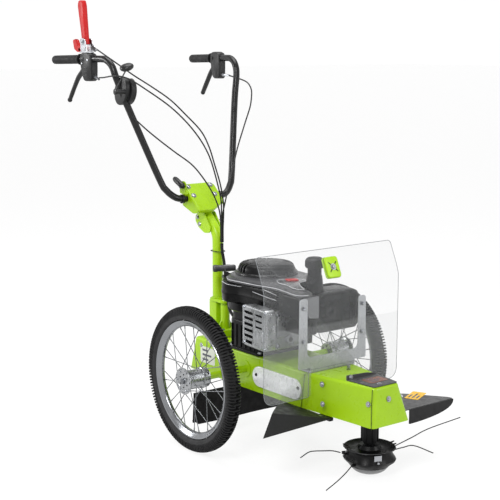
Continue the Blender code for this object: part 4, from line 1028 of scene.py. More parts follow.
def crankcase():
    """The crankcase with its ribs, and the finned cylinder with its cast head."""
    bm = bmesh.new()
    base = rounded([(-0.143, -0.050), (-0.095, -0.098), (0.073, -0.098), (0.073, 0.098), (-0.143, 0.098)],
                   0.024)
    casting(bm, base, 0.3123, 0.4240, 0.0, 0.012)
    casting(bm, shrink(base, 0.006), 0.4200, 0.4870, 0.0, 0.004)
    lathe(bm, ((0, 0.4560), (0.1180, 0.4560), (0.1240, 0.4620), (0.1240, 0.4880), (0, 0.4880)), (CRANK_X, 0, 0), Z, 56)
    foot = rounded([(-0.148, -0.056), (-0.098, -0.104), (0.080, -0.104), (0.080, 0.104), (-0.148, 0.104)], 0.020)
    casting(bm, foot, 0.3123, 0.3215, 0.0, 0.0025, steps=3)
    for k in range(6):
        x = CRANK_X - 0.050 + 0.026 * k
        block(bm, (x, -0.0985, 0.365), (0.0045, 0.006, 0.080), bevel=0.0015, segments=2)
        block(bm, (x, 0.0985, 0.365), (0.0045, 0.006, 0.080), bevel=0.0015, segments=2)
    for y in (-0.020, 0.025, 0.070):
        block(bm, (CRANK_X - 0.1085, y, 0.365), (0.006, 0.0045, 0.080), bevel=0.0015, segments=2)
    piece("crankcase_casting", bm, "frame", ENGINE_BLACK, replaces=("crankcase",), angle=35)

    bm = bmesh.new()
    for x, y in ((-0.092, -0.094), (0.070, -0.094), (0.070, 0.094), (-0.138, 0.094)):
        hex_bolt(bm, (x, y, 0.3214), Z, 0.0062, 0.0046)
    piece("crankcase_bolts", bm, "frame", ZINC, angle=30)

    bm = bmesh.new()
    block(bm, (0.122, -0.045, 0.388), (0.100, 0.126, 0.052), bevel=0.006)
    for k in range(6):
        x = 0.078 + 0.0165 * k
        slab(bm, rectangle(0.140, 0.068, 0.010), 0.0026, (x, -0.045, 0.388), Y, Z)
    piece("cylinder_fins", bm, "frame", CAST, replaces=("cylinder",), angle=35)

    bm = bmesh.new()
    block(bm, (0.190, -0.094, 0.430), (0.026, 0.092, 0.134), bevel=0.009)
    block(bm, (0.198, -0.094, 0.446), (0.020, 0.070, 0.086), bevel=0.008)
    block(bm, (0.199, -0.112, 0.478), (0.022, 0.030, 0.030), bevel=0.008)
    block(bm, (0.202, -0.072, 0.470), (0.020, 0.022, 0.036), bevel=0.007)
    for y, z in ((-0.126, 0.380), (-0.062, 0.380), (-0.126, 0.488), (-0.062, 0.488)):
        rod(bm, (0.180, y, z), (0.209, y, z), 0.0095, 0.0085, 20)
    rod(bm, (0.190, -0.074, 0.398), (0.215, -0.074, 0.398), 0.0165, 0.0150, 28)
    for k in range(5):
        block(bm, (0.205, -0.096, 0.412 + 0.012 * k), (0.010, 0.060, 0.0030), bevel=0.001, segments=2)
    piece("cylinder_head", bm, "frame", CAST, angle=35)

    bm = bmesh.new()
    for y, z in ((-0.126, 0.380), (-0.062, 0.380), (-0.126, 0.488), (-0.062, 0.488)):
        hex_bolt(bm, (0.2085, y, z), X, 0.0050, 0.0040)
    piece("cylinder_head_bolts", bm, "frame", ZINC, angle=30)
    bm = bmesh.new()
    lathe(bm, ((0, 0), (0.0085, 0), (0.0085, 0.0012), (0, 0.0012)), (0.2146, -0.074, 0.398), X, 20)
    rod(bm, (0.206, -0.100, 0.452), (0.222, -0.102, 0.452), 0.0075, 0.0070, 20)
    sweep(bm, smooth([(0.220, -0.102, 0.452), (0.232, -0.104, 0.462), (0.234, -0.098, 0.490),
                      (0.226, -0.084, 0.520)], 0.006), 0.0034, 10)
    piece("spark_plug_lead", bm, "frame", BLACK_PAINT_AND_SHADE, angle=40)


def muffler():
    """The muffler guard: a bright frame with dark slots, and the muffler's can inside."""
    tilt = turn(Z, -6)
    centre, u, out = Vector((0.1380, -0.1520, 0.4370)), tilt @ X, tilt @ -Y
    bm = bmesh.new()
    shell = rectangle(0.154, 0.142, 0.022, 6)
    holes = [rectangle(0.056, 0.0100, 0.0036, 3, (-0.038, 0.046 - 0.0205 * k)) for k in range(5)]
    holes.append(rectangle(0.044, 0.0130, 0.0040, 3, (-0.036, -0.0575)))
    holes += [rectangle(0.044, 0.0070, 0.0026, 3, (0.026, 0.046 - 0.0205 * k)) for k in range(3)]
    slab(bm, shell, 0.0022, centre + out * 0.0170, u, Z, holes)
    rings = []
    for inset, depth in ((0.0, -0.018), (0.0, 0.0120), (0.0012, 0.0160), (0.0040, 0.0182), (0.0070, 0.0186),
                         (0.0085, 0.0178)):
        rings.append([centre + u * a + Z * b + out * depth for a, b in shrink(shell, inset)])
    inner = [[centre + u * a + Z * b + out * depth for a, b in shrink(shell, inset)]
             for inset, depth in ((0.0090, 0.0150), (0.0025, 0.0120), (0.0025, -0.018))]
    loft(bm, rings + inner, cap=False)
    piece("muffler_cage", bm, "frame", GUARD_METAL, replaces=("muffler_guard",),
          bevel=0.0005, angle=35)

    bm = bmesh.new()
    rings = []
    for inset, depth in ((0.006, 0.0165), (0.006, 0.0205), (0.0075, 0.0225), (0.010, 0.0230)):
        rings.append([centre + u * a + Z * b + out * depth
                      for a, b in shrink(rectangle(0.046, 0.050, 0.014, 5, (0.044, -0.022)), inset)])
    loft(bm, rings)
    for k in range(4):
        spot = centre + u * 0.006 + Z * (0.046 - 0.0325 * k) + out * 0.0180
        block(bm, spot, (0.0040, 0.0030, 0.024), tilt, bevel=0.001, segments=2)
    piece("muffler_cover", bm, "frame", GUARD_METAL, angle=35)

    bm = bmesh.new()
    block(bm, centre - out * 0.004, (0.136, 0.024, 0.124), tilt, bevel=0.010)
    piece("muffler_can", bm, "frame", BLACK_PAINT_AND_SHADE, angle=35)
    bm = bmesh.new()
    for a, b in ((-0.068, 0.062), (0.068, 0.062), (-0.068, -0.062), (0.068, -0.062)):
        hex_bolt(bm, centre + u * a + Z * b + out * 0.0182, out, 0.0042, 0.0030)
    piece("muffler_bolts", bm, "frame", ZINC, angle=30)


BLOWER_PLAN = [(-0.183, 0.0), (-0.165, 0.075), (-0.110, 0.128), (-0.035, 0.147), (0.060, 0.128),
               (0.130, 0.104), (0.178, 0.098), (0.184, 0.060), (0.184, -0.060), (0.176, -0.105),
               (0.120, -0.116), (0.045, -0.118), (-0.020, -0.122), (-0.075, -0.141), (-0.130, -0.112),
               (-0.170, -0.060)]


def closed_curve(points, spacing=0.012):
    """The 2D outline as a smooth closed curve."""
    return [(p.x, p.y) for p in smooth([Vector((x, y, 0)) for x, y in points], spacing, closed=True)]


def blower():
    """The moulded blower housing, thin light grey lines on it that are painted highlights, and the box at its front
    corner.
    """
    plan = closed_curve(BLOWER_PLAN[::-1])
    bm = bmesh.new()
    levels = ((0.0140, 0.4860), (0.0050, 0.4890), (0.0016, 0.4960), (0.0016, 0.5130), (-0.0004, 0.5165),
              (-0.0004, 0.5225), (0.0016, 0.5260), (0.0020, 0.5480), (0.0030, 0.5560), (0.0060, 0.5610),
              (0.0110, 0.5630))
    loft(bm, [[(x, y, height) for x, y in shrink(plan, inset)] for inset, height in levels])
    piece("blower_shroud", bm, "frame", ENGINE_BLACK, replaces=("blower_housing",),
          angle=35)

    # Painted highlights: thin light grey rails where the glossy black housing catches the light.
    bm = bmesh.new()
    sweep(bm, smooth([(0.060, -0.1188, 0.5440), (0.100, -0.1184, 0.5400), (0.150, -0.1145, 0.5350),
                      (0.176, -0.1070, 0.5310)], 0.008), 0.0011, 8)
    sweep(bm, smooth([(0.120, -0.1170, 0.5600), (0.150, -0.1145, 0.5560), (0.176, -0.1060, 0.5480)], 0.008),
          0.0010, 8)
    sweep(bm, smooth([(-0.100, -0.1330, 0.5580), (-0.060, -0.1385, 0.5540), (0.0, -0.1210, 0.5520)], 0.008),
          0.0010, 8)
    piece("blower_accents", bm, "frame", ACCENT_AND_HIGHLIGHT, angle=60)

    bm = bmesh.new()
    block(bm, (0.2600, -0.0800, 0.5225), (0.1320, 0.0700, 0.0800), bevel=0.008)
    block(bm, (0.2590, -0.0660, 0.4600), (0.1080, 0.0620, 0.0660), bevel=0.010)
    for k in range(4):
        block(bm, (0.3125, -0.084 + 0.012 * k, 0.452), (0.003, 0.005, 0.040), bevel=0.001, segments=2)
    piece("throttle_box", bm, "frame", ENGINE_BLACK, angle=35)


TRIM_PLAN = [(-0.130, -0.075), (-0.060, -0.136), (0.020, -0.134), (0.090, -0.127), (0.170, -0.110),
             (0.240, -0.118), (0.300, -0.128), (0.326, -0.114), (0.327, -0.075), (0.290, -0.058),
             (0.225, -0.040), (0.203, 0.020), (0.190, 0.090), (0.130, 0.122), (0.060, 0.138), (-0.020, 0.141),
             (-0.090, 0.130), (-0.148, 0.060), (-0.150, -0.010)]


def trim():
    """The grey moulding over the blower, its light edge line and the raised panel."""
    plan = closed_curve(TRIM_PLAN, 0.010)
    bm = bmesh.new()
    levels = ((0.004, 0.5636), (0.0, 0.5660), (0.0, 0.5700), (0.0016, 0.5740), (0.0060, 0.5785),
              (0.0120, 0.5815), (0.0200, 0.5835), (0.0300, 0.5848))
    loft(bm, [[(x, y, height) for x, y in shrink(plan, inset)] for inset, height in levels])
    piece("trim_moulding", bm, "frame", TRIM_GREY, replaces=("engine_trim",), angle=50)

    bm = bmesh.new()
    edge = [(x, y, 0.5725) for x, y in plan if y < -0.045 and x > -0.110]
    edge = sorted(edge)
    lower = [p for p in edge if p[1] < -0.090]
    sweep(bm, [Vector(p) + Vector((0, -0.0002, 0)) for p in lower], 0.0011, 8)
    piece("trim_line", bm, "frame", ACCENT_AND_HIGHLIGHT, angle=60)

    bm = bmesh.new()
    slab(bm, rounded([(-0.114, 0.5636), (-0.090, 0.4930), (-0.0465, 0.4880), (-0.0465, 0.5636)], 0.005), 0.0024,
         (0.3272, 0, 0), Y, Z)
    piece("trim_apron", bm, "frame", MILKY, bevel=0.0006)

    panel = rounded([(0.120, -0.062), (0.170, -0.090), (0.215, -0.088), (0.262, -0.106), (0.296, -0.104),
                     (0.300, -0.084), (0.262, -0.068), (0.208, -0.034), (0.190, 0.020), (0.150, 0.022),
                     (0.128, -0.020)], 0.014, 5)
    bm = bmesh.new()
    loft(bm, [[(x, y, height) for x, y in shrink(panel, inset)]
              for inset, height in ((0.0, 0.5780), (0.0, 0.5858), (0.0010, 0.5868), (0.0030, 0.5874))])
    piece("trim_raised_panel", bm, "frame", PANEL_GREY, angle=40)
    bm = bmesh.new()
    sweep(bm, [Vector((x, y, 0.5868)) for x, y in panel], 0.0010, 8, closed=True)
    piece("trim_panel_outline", bm, "frame", ACCENT_AND_HIGHLIGHT, angle=60)
    bm = bmesh.new()
    block(bm, (0.152, -0.018, 0.5885), (0.030, 0.040, 0.0035), turn(Z, -20), bevel=0.0014)
    piece("trim_badge", bm, "frame", RED_PLASTIC, angle=35)


DOME_AT = Vector((-0.022, 0.008, 0))


def dome_cover():
    """The starter's dome: a dark core, a ring of air fins round its back and a smooth cap in front."""
    centre, ahead = DOME_AT, math.radians(-20)
    bm = bmesh.new()
    lathe(bm, ((0, 0.5840), (0.1120, 0.5840), (0.1120, 0.5910), (0.1080, 0.5950), (0.0800, 0.5960),
               (0.0760, 0.6090), (0.0700, 0.6130), (0, 0.6140)), centre, Z, 96)
    piece("dome_core", bm, "frame", BLACK_PAINT_AND_SHADE, replaces=("starter_dome",), angle=45)

    bm = bmesh.new()
    fins = 34
    for k in range(fins):
        angle = 2 * math.pi * k / fins
        if math.cos(angle - ahead) > 0.45:
            continue
        direction = Vector((math.cos(angle), math.sin(angle), 0))
        side = Vector((-direction.y, direction.x, 0)) * 0.0034
        shape = ((0.0740, 0.5940), (0.1020, 0.5940), (0.1010, 0.6060), (0.0965, 0.6160), (0.0890, 0.6220),
                 (0.0700, 0.6255), (0.0660, 0.6130))
        loft(bm, [[centre + direction * r + Z * h + side * s for r, h in shape] for s in (-1, 1)])
    piece("dome_fins", bm, "frame", LEVER_BLACK, angle=35)

    bm = bmesh.new()
    rings = []
    profile = ((0.1050, 0.5940), (0.1035, 0.6050), (0.0985, 0.6150), (0.0900, 0.6215), (0.0740, 0.6250),
               (0.0500, 0.6262), (0.0150, 0.6264))
    for radius, height in profile:
        rings.append([centre + Vector((math.cos(ahead + a), math.sin(ahead + a), 0)) * radius + Z * height
                      for a in [math.radians(-64 + 128 * k / 44) for k in range(45)]])
    plate(bm, rings, 0.0014)
    lathe(bm, ((0, 0.6200), (0.0690, 0.6200), (0.0700, 0.6230), (0.0640, 0.6258), (0, 0.6264)), centre, Z, 72)
    piece("dome_cap", bm, "frame", TANK_BLACK, angle=40)


def tank():
    """The fuel tank with its fluted end and neck, and the ribbed cap."""
    bm = bmesh.new()
    plan = rectangle(0.128, 0.196, 0.034, 8, (0.262, 0.054))
    levels = ((0.0260, 0.4275), (0.0110, 0.4320), (0.0040, 0.4420), (0.0010, 0.4550), (0.0, 0.4700),
              (-0.0008, 0.4715), (0.0, 0.4730), (0.0, 0.5380), (0.0020, 0.5490), (0.0080, 0.5580), (0.0180, 0.5628),
              (0.0300, 0.5640))
    loft(bm, [[(x, y, height) for x, y in shrink(plan, inset)] for inset, height in levels])
    for k in range(5):
        y = 0.094 + 0.0125 * k
        block(bm, (0.3245 - 0.0030 * max(0, k - 2) ** 1.5, y, 0.496), (0.005, 0.0050, 0.100),
              bevel=0.0022, segments=3)
    lathe(bm, ((0.0340, 0.5600), (0.0330, 0.5680), (0.0295, 0.5760), (0.0280, 0.6020), (0.0262, 0.6120),
               (0.0262, 0.6160), (0.0240, 0.6180), (0.0240, 0.6425), (0, 0.6425)), (0.250, 0, 0), Z, 40)
    piece("tank_body", bm, "frame", TANK_BLACK, replaces=("fuel_tank",), angle=35)

    bm = bmesh.new()
    lathe(bm, ((0.0160, 0.0), (0.0180, 0.0), (0.0184, 0.0008), (0.0180, 0.0014), (0.0160, 0.0014),
               (0.0156, 0.0008)), (0.3262, 0.010, 0.498), X, 40, loop=True)
    piece("tank_round_mark", bm, "frame", GREY_PAINT, angle=50)

    bm = bmesh.new()
    lathe(bm, ((0, 0.6434), (0.0290, 0.6434), (0.0312, 0.6450), (0.0312, 0.6690), (0.0300, 0.6730),
               (0.0260, 0.6765), (0.0230, 0.6780), (0.0210, 0.6752), (0, 0.6752)), (0.250, 0, 0), Z, 64)
    for k in range(24):
        angle = 2 * math.pi * k / 24
        direction = Vector((math.cos(angle), math.sin(angle), 0))
        block(bm, Vector((0.250, 0, 0.6580)) + direction * 0.0314, (0.0030, 0.0042, 0.0210),
              turn(Z, math.degrees(angle)), bevel=0.0010, segments=2)
    block(bm, (0.250, 0, 0.6762), (0.0400, 0.0080, 0.0030), turn(Z, 35), bevel=0.0012)
    piece("tank_cap", bm, "fuel_cap", CAP_BLACK, replaces=("fuel_cap",), angle=35)

    bm = bmesh.new()
    casting(bm, rectangle(0.110, 0.074, 0.018, 6, (-0.010, 0.140)), 0.3138, 0.4225, 0.005, 0.012)
    for k in range(6):
        block(bm, (-0.052 + 0.0170 * k, 0.1760, 0.368), (0.006, 0.0030, 0.074), bevel=0.0014, segments=2)
    block(bm, (-0.010, 0.140, 0.4230), (0.050, 0.012, 0.005), bevel=0.0022)
    piece("air_filter_box", bm, "frame", ENGINE_BLACK, replaces=("air_filter_cover",),
          angle=35)


def starter_handle():
    """The pull-starter's grip, hollow at one end and lined there with painted shade, and the bracket that parks it."""
    axis, a = STARTER_LIE, STARTER_AT - STARTER_LIE * STARTER_HALF
    length = 2 * STARTER_HALF
    bm = bmesh.new()
    lathe(bm, ((0.0, 0.016), (0.0092, 0.016), (0.0098, 0.0020), (0.0112, 0.0), (0.0128, 0.0006),
               (0.0135, 0.0030), (0.0134, 0.0120), (0.0120, 0.0200), (0.0118, 0.0300), (0.0130, 0.0420),
               (0.0132, 0.0560), (0.0120, 0.0680), (0.0122, length - 0.0060), (0.0110, length - 0.0015),
               (0.0080, length), (0, length)), a, axis, 40)
    piece("starter_handle", bm, "starter_grip", STARTER_GREY,
          replaces=("starter_grip",), angle=50)
    # Painted shade: a black lining inside the grip's hollow end darkens the recess.
    bm = bmesh.new()
    lathe(bm, ((0, 0.0150), (0.0091, 0.0150), (0.0095, 0.0030), (0.0086, 0.0030), (0.0082, 0.0140),
               (0, 0.0140)), a, axis, 32)
    piece("starter_handle_bore", bm, "starter_grip", BLACK_PAINT_AND_SHADE, angle=40)
    bm = bmesh.new()
    sweep(bm, smooth([(-0.1560, -0.0700, 0.5480), (-0.1760, -0.0620, 0.5520), (-0.2000, -0.0500, 0.5500)], 0.006),
          0.0075, 12)
    block(bm, (-0.1750, -0.0470, 0.5560), (0.026, 0.030, 0.018), turn(Z, 25), bevel=0.004)
    lathe(bm, ((0.0030, 0.0), (0.0068, 0.0), (0.0072, 0.0020), (0.0068, 0.0045), (0.0030, 0.0045)),
          (-0.1865, -0.0430, 0.5605), (-1, 0.2, 0.25), 24)
    piece("starter_bracket", bm, "frame", ENGINE_BLACK, angle=40)


# ---------------------------------------------------------------- clear shield

SHIELD_X = 0.3505
SHIELD_LOW_Z = 0.232
FLAP_RISE, FLAP_BACK = 0.104, 0.046


def shield():
    """The clear guard, bent from one sheet, with the aluminium stay and the clamp that hold it."""
    lean = math.atan2(FLAP_BACK, FLAP_RISE)
    bend, fold = 0.016, FOLD_Z - SHIELD_LOW_Z
    tall = fold + math.hypot(FLAP_RISE, FLAP_BACK)
    outline = rounded([(-0.298, 0), (-0.109, 0), (-0.109, 0.092), (0.109, 0.092), (0.109, 0), (0.298, 0),
                       (0.298, tall), (-0.298, tall)],
                      [0.045, 0.006, 0.010, 0.010, 0.006, 0.045, 0.014, 0.014], 8)
    bm = bmesh.new()
    slab(bm, outline, 0.003, (SHIELD_X, 0, SHIELD_LOW_Z), Y, Z)
    bmesh.ops.triangulate(bm, faces=[face for face in bm.faces if len(face.verts) > 4])
    start = SHIELD_LOW_Z + fold - bend * lean / 2
    for k in range(9):
        level = start + bend * lean * k / 8
        bmesh.ops.bisect_plane(bm, geom=bm.verts[:] + bm.edges[:] + bm.faces[:], dist=1e-6,
                               plane_co=(0, 0, level), plane_no=(0, 0, 1))

    def bent(place):
        along, proud = place.z - start, place.x - SHIELD_X
        if along <= 0:
            return place
        angle, rest = min(lean, along / bend), max(0.0, along - bend * lean)
        back = bend * (1 - math.cos(angle)) + rest * math.sin(angle)
        rise = bend * math.sin(angle) + rest * math.cos(angle)
        return Vector((SHIELD_X - back + proud * math.cos(angle), place.y,
                       start + rise + proud * math.sin(angle)))

    for vert in bm.verts:
        vert.co = bent(vert.co.copy())
    piece("shield_sheet", bm, "frame", SHEET, replaces=("clear_shield",), angle=30)
    bm = bmesh.new()
    edge = [Vector((SHIELD_X, y, z + SHIELD_LOW_Z)) for y, z in outline]
    edge = [p.lerp(q, k / 12) for p, q in zip(edge, edge[1:] + edge[:1]) for k in range(12 if (q - p).length > 0.06 else 1)]
    sweep(bm, [bent(p) for p in edge], 0.0010, 8, closed=True)
    piece("shield_edge", bm, "frame", SHEET_EDGE, angle=60)

    bm = bmesh.new()
    frame_plan = rounded([(-0.150, 0.3300), (0.150, 0.3300), (0.147, 0.5480), (0.113, 0.5480), (0.113, 0.3670),
                          (-0.113, 0.3670), (-0.113, 0.5670), (-0.147, 0.5670)],
                         [0.006, 0.006, 0.012, 0.012, 0.022, 0.022, 0.012, 0.012], 6)
    slab(bm, frame_plan, 0.003, (0.3472, 0, 0), Y, Z)
    slab(bm, [(-0.099, 0.3125), (0.099, 0.3125), (0.099, 0.3310), (-0.099, 0.3310)], 0.003, (0.3472, 0, 0), Y, Z)
    slab(bm, rectangle(0.060, 0.200, 0.008), 0.003, (0.3187, 0, 0.3140))
    sweep(bm, [Vector((0.3465, y, 0.3152)) for y in (-0.099, 0.099)], 0.0022, 12)
    piece("stay_plate", bm, "frame", STAY_METAL, replaces=("shield_stay",), bevel=0.0006)

    bm = bmesh.new()
    for y, z in ((-0.1300, 0.5350), (-0.1300, 0.4220), (0.1300, 0.5200), (0.1300, 0.4220)):
        hex_bolt(bm, (SHIELD_X + 0.0016, y, z), X, 0.0052, 0.0038)
        hex_bolt(bm, (0.3455, y, z), -X, 0.0052, 0.0038)
    for y in (-0.075, 0.075):
        hex_bolt(bm, (0.310, y, 0.3155), Z, 0.0058, 0.0042)
    hex_bolt(bm, (0.3916, 0.0321, 0.3122), Z, 0.0056, 0.0150)
    piece("stay_bolts", bm, "frame", ZINC, angle=30)

    middle = Vector((SHIELD_X - FLAP_BACK * 0.42, 0.006, FOLD_Z + FLAP_RISE * 0.42))
    out = Vector((math.cos(lean), 0, math.sin(lean)))
    up = Vector((-math.sin(lean), 0, math.cos(lean)))
    bm = bmesh.new()
    rings = []
    for inset, depth in ((0.0, 0.0016), (0.0, 0.0050), (0.0006, 0.0060), (0.0018, 0.0066), (0.0040, 0.0070)):
        rings.append([middle + Y * a + up * b + out * depth for a, b in shrink(rectangle(0.056, 0.072, 0.012), inset)])
    loft(bm, rings)
    rings = []
    for inset, depth in ((0.0, -0.0016), (0.0, -0.0050), (0.0020, -0.0062)):
        rings.append([middle + Y * a + up * b + out * depth for a, b in shrink(rectangle(0.066, 0.074, 0.012), inset)])
    loft(bm, rings)
    piece("shield_clamp_plate", bm, "frame", GREEN_SIDE, replaces=("shield_clamp",), angle=35)
    bm = bmesh.new()
    for k in range(4):
        angle = math.pi / 4 + math.pi / 2 * k
        spot = middle + out * 0.0072 + (Y * math.cos(angle) + up * math.sin(angle)) * 0.0175
        along = (Y * math.cos(angle) + up * math.sin(angle))
        sweep(bm, [spot - along * 0.006, spot + along * 0.006], 0.0016, 8)
    piece("shield_clamp_marks", bm, "frame", BLACK_PAINT_AND_SHADE, angle=40)
    bm = bmesh.new()
    hex_bolt(bm, middle + out * 0.0070, out, 0.0080, 0.0060)
    hex_bolt(bm, middle - out * 0.0062, -out, 0.0075, 0.0055)
    piece("shield_clamp_bolt", bm, "frame", ZINC, angle=30)


# ---------------------------------------------------------------- column and handlebar

def tray(bm, centre, turned, wide, deep, height, corner, fillet=0.008, wall=0.004):
    """A pressed cover, open on its underside, with rounded edges."""
    skin = []
    for inset, drop in ((wall, wall), (0.0, 0.0)):
        plan, radius = rectangle(wide - 2 * inset, deep - 2 * inset, corner - inset * 0.5, 6), fillet - inset * 0.6
        levels = [(0.0, -height / 2), (0.0, height / 2 - drop - radius)]
        for k in range(1, 7):
            angle = math.pi / 2 * k / 6
            levels.append((radius * (1 - math.cos(angle)), height / 2 - drop - radius * (1 - math.sin(angle))))
        skin.append([[centre + turned @ Vector((x, y, z)) for x, y in shrink(plan, extra)]
                     for extra, z in levels])
    loft(bm, skin[0][::-1] + skin[1])


COLUMN_PATH = ((-0.307, 0, 0.3985), (-0.307, 0, 0.560), (-0.307, 0, 0.660), (-0.311, 0, 0.684),
               (-0.323, 0, 0.706), (-0.345, 0, 0.729), (-0.372, 0, 0.755), (-0.392, 0, 0.778))


def column():
    """The steering column, the barrel it swivels on, and the bracket that takes the handlebar."""
    bm = bmesh.new()
    sweep(bm, smooth(COLUMN_PATH, 0.009), 0.0195, 40)
    piece("column_tube", bm, "column", GREEN_SIDE, replaces=("steering_column",), angle=35)
    bm = bmesh.new()
    slab(bm, rectangle(0.096, 0.056, 0.022, 6, (-0.284, 0.0)), 0.010, (0, 0, 0.4425))
    block(bm, (-0.309, 0, 0.3930), (0.044, 0.046, 0.0950), bevel=0.003)
    sweep(bm, [Vector((-0.307 + 0.0215 * math.cos(a), 0.0215 * math.sin(a), 0.4490))
               for a in [2 * math.pi * k / 32 for k in range(32)]], 0.0026, 8, closed=True)
    piece("column_foot", bm, "column", GREEN_SIDE, bevel=0.0008)
    bm = bmesh.new()
    hex_bolt(bm, (-0.261, 0, 0.4478), Z, 0.0098, 0.0070)
    piece("column_bolt", bm, "column", ZINC, angle=30)

    bm = bmesh.new()
    lathe(bm, ((0.0085, 0.0), (0.0165, 0.0), (0.0172, 0.0010), (0.0172, 0.1000), (0.0165, 0.1015),
               (0.0085, 0.1015)), (-0.261, 0, 0.3345), Z, 40, loop=True)
    casting(bm, rectangle(0.075, 0.080, 0.012, 5, (-0.261, 0)), 0.3135, 0.339, 0.0, 0.004)
    for degrees in (90, 270):
        slab(bm, [(0.0165, 0.338), (0.036, 0.338), (0.0165, 0.372)], 0.005, (-0.261, 0, 0),
             turn(Z, degrees) @ X, Z)
    piece("barrel_body", bm, "frame", GREEN_SIDE, replaces=("swivel_barrel",), angle=35)
    bm = bmesh.new()
    for x in (-0.288, -0.234):
        for y in (-0.030, 0.030):
            hex_bolt(bm, (x, y, 0.3388), Z, 0.0054, 0.0040)
    piece("barrel_bolts", bm, "frame", ZINC, angle=30)

    tie = rounded([(-0.329, -0.0215), (-0.290, -0.0220), (-0.2715, -0.0080), (-0.2705, 0.0060),
                   (-0.290, 0.0220), (-0.329, 0.0215)], 0.014, 6)
    bm = bmesh.new()
    sweep(bm, [Vector((x, y, 0.6265)) for x, y in tie], 0.0016, 8, closed=True)
    piece("column_tie", bm, "column", BLACK_PAINT_AND_SHADE, angle=50)
    bm = bmesh.new()
    ring = [Vector((-0.2765 + 0.0085 * math.cos(a), -0.0040 + 0.0090 * math.sin(a), 0.748 + 0.002 * math.cos(a)))
            for a in [2 * math.pi * k / 20 for k in range(20)]]
    sweep(bm, ring, 0.0014, 8, closed=True)
    block(bm, (-0.2680, -0.0040, 0.750), (0.006, 0.005, 0.004), bevel=0.001, segments=2)
    piece("bundle_tie", bm, "column", BLACK_PAINT_AND_SHADE, angle=50)

    bm = bmesh.new()
    sector = rounded([(-0.358, 0.768), (-0.384, 0.768), (-0.412, 0.752), (-0.412, 0.730), (-0.392, 0.708),
                      (-0.355, 0.690), (-0.322, 0.694), (-0.316, 0.712)], 0.008)
    slab(bm, sector, 0.005, (0, -0.0245, 0), X, Z)
    slab(bm, sector, 0.005, (0, 0.0245, 0), X, Z)
    lathe(bm, ((0.0196, 0.0), (0.0235, 0.0), (0.0235, 0.040), (0.0196, 0.040)), (-0.374, 0, 0.7570),
          (-0.030, 0, 0.0333), 40, loop=True)
    piece("column_sector", bm, "column", GREEN_SIDE, bevel=0.0008)
    bm = bmesh.new()
    for x, z in ((-0.3975, 0.7460), (-0.3850, 0.7208)):
        hex_bolt(bm, (x, -0.0270, z), -Y, 0.0060, 0.0044)
        hex_bolt(bm, (x, 0.0270, z), Y, 0.0060, 0.0044)
    piece("column_sector_bolts", bm, "column", ZINC, angle=30)


CLAMP_AT = Vector((-0.411, 0, 0.818))


def bracket():
    """The pressed bracket over the handlebar's middle, its four bolts, and the tilt lock."""
    slant = turn(Y, 42)
    plan = rounded([(-0.050, -0.068), (0.086, -0.068), (0.088, -0.048), (0.088, 0.000), (0.052, 0.060),
                    (0.034, 0.068), (-0.036, 0.068), (-0.050, 0.054)], 0.010, 5)

    def hem(x):
        """The height of the cover's lower edge, which rises in front to clear the column."""
        return 0.0080 + 0.0066 * min(max((x - 0.035) / 0.036, 0), 1)

    bm = bmesh.new()
    skin = []
    for inset, drop in ((0.004, 0.004), (0.0, 0.0)):
        levels = [(0.0, None), (0.0, 0.0220 - drop)]
        levels += [(0.006 * (1 - math.cos(a)), 0.0220 - drop + 0.006 * math.sin(a))
                   for a in [math.pi / 2 * k / 5 for k in range(1, 6)]]
        skin.append([[CLAMP_AT + slant @ Vector((x, y, hem(x) if z is None else z))
                      for x, y in shrink(plan, inset + extra)] for extra, z in levels])
    loft(bm, skin[0][::-1] + skin[1])
    for y, cheek in ((-0.0658, [(-0.048, 0.022), (-0.027, -0.010), (0.000, -0.038), (0.066, -0.011), (0.082, 0.006),
                                (0.084, 0.022)]),
                     (0.0658, [(-0.046, 0.022), (-0.046, -0.018), (-0.026, -0.030), (0.006, -0.030),
                               (0.040, 0.004), (0.066, 0.022)])):
        slab(bm, rounded(cheek, 0.006, 5), 0.004, CLAMP_AT + Y * y, slant @ X, slant @ Z)
    block(bm, CLAMP_AT + slant @ Vector((-0.022, -0.0735, 0.0165)), (0.044, 0.016, 0.024), slant, bevel=0.006)
    piece("bracket_cover", bm, "handlebar", GREEN, replaces=("handlebar_clamp",), angle=40)
    bm = bmesh.new()
    for x, y in ((-0.033, -0.056), (0.012, -0.054), (-0.034, 0.046), (0.013, 0.042)):
        hex_bolt(bm, CLAMP_AT + slant @ Vector((x, y, 0.0280)), slant @ Z, 0.0070, 0.0050)
    piece("bracket_bolts", bm, "handlebar", ZINC, angle=30)
    bm = bmesh.new()
    for side in (-1, 1):
        lathe(bm, ((0.0129, 0.0), (0.0165, 0.0), (0.0170, 0.0010), (0.0170, 0.0110), (0.0160, 0.0120),
                   (0.0129, 0.0120)), (-0.411, side * 0.0805, 0.818), (0, side, 0), 32, loop=True)
    piece("bracket_bushes", bm, "handlebar", BLACK_PAINT_AND_SHADE, angle=35)
    bm = bmesh.new()
    slab(bm, rounded([(-0.436, 0.838), (-0.404, 0.832), (-0.392, 0.868), (-0.402, 0.884), (-0.424, 0.884),
                      (-0.434, 0.868)], 0.008), 0.004, (0, -0.0800, 0), X, Z)
    piece("bracket_tab", bm, "handlebar", GREEN, bevel=0.0008)

    bm = bmesh.new()
    rod(bm, (-0.411, -0.0825, 0.8675), (-0.411, -0.0960, 0.8675), 0.0105, 0.0100, 28)
    root, along = Vector((-0.402, -0.0945, 0.8690)), Vector((-0.055, 0, 0.026))
    lathe(bm, ((0, -0.0120), (0.0074, -0.0100), (0.0104, -0.0040), (0.0112, 0.0060), (0.0112, 0.0380),
               (0.0104, 0.0480), (0.0074, 0.0550), (0, 0.0580)), root, along, 36)
    piece("lock_handle", bm, "lock_knob", LEVER_BLACK, replaces=("lock_knob",), angle=40)


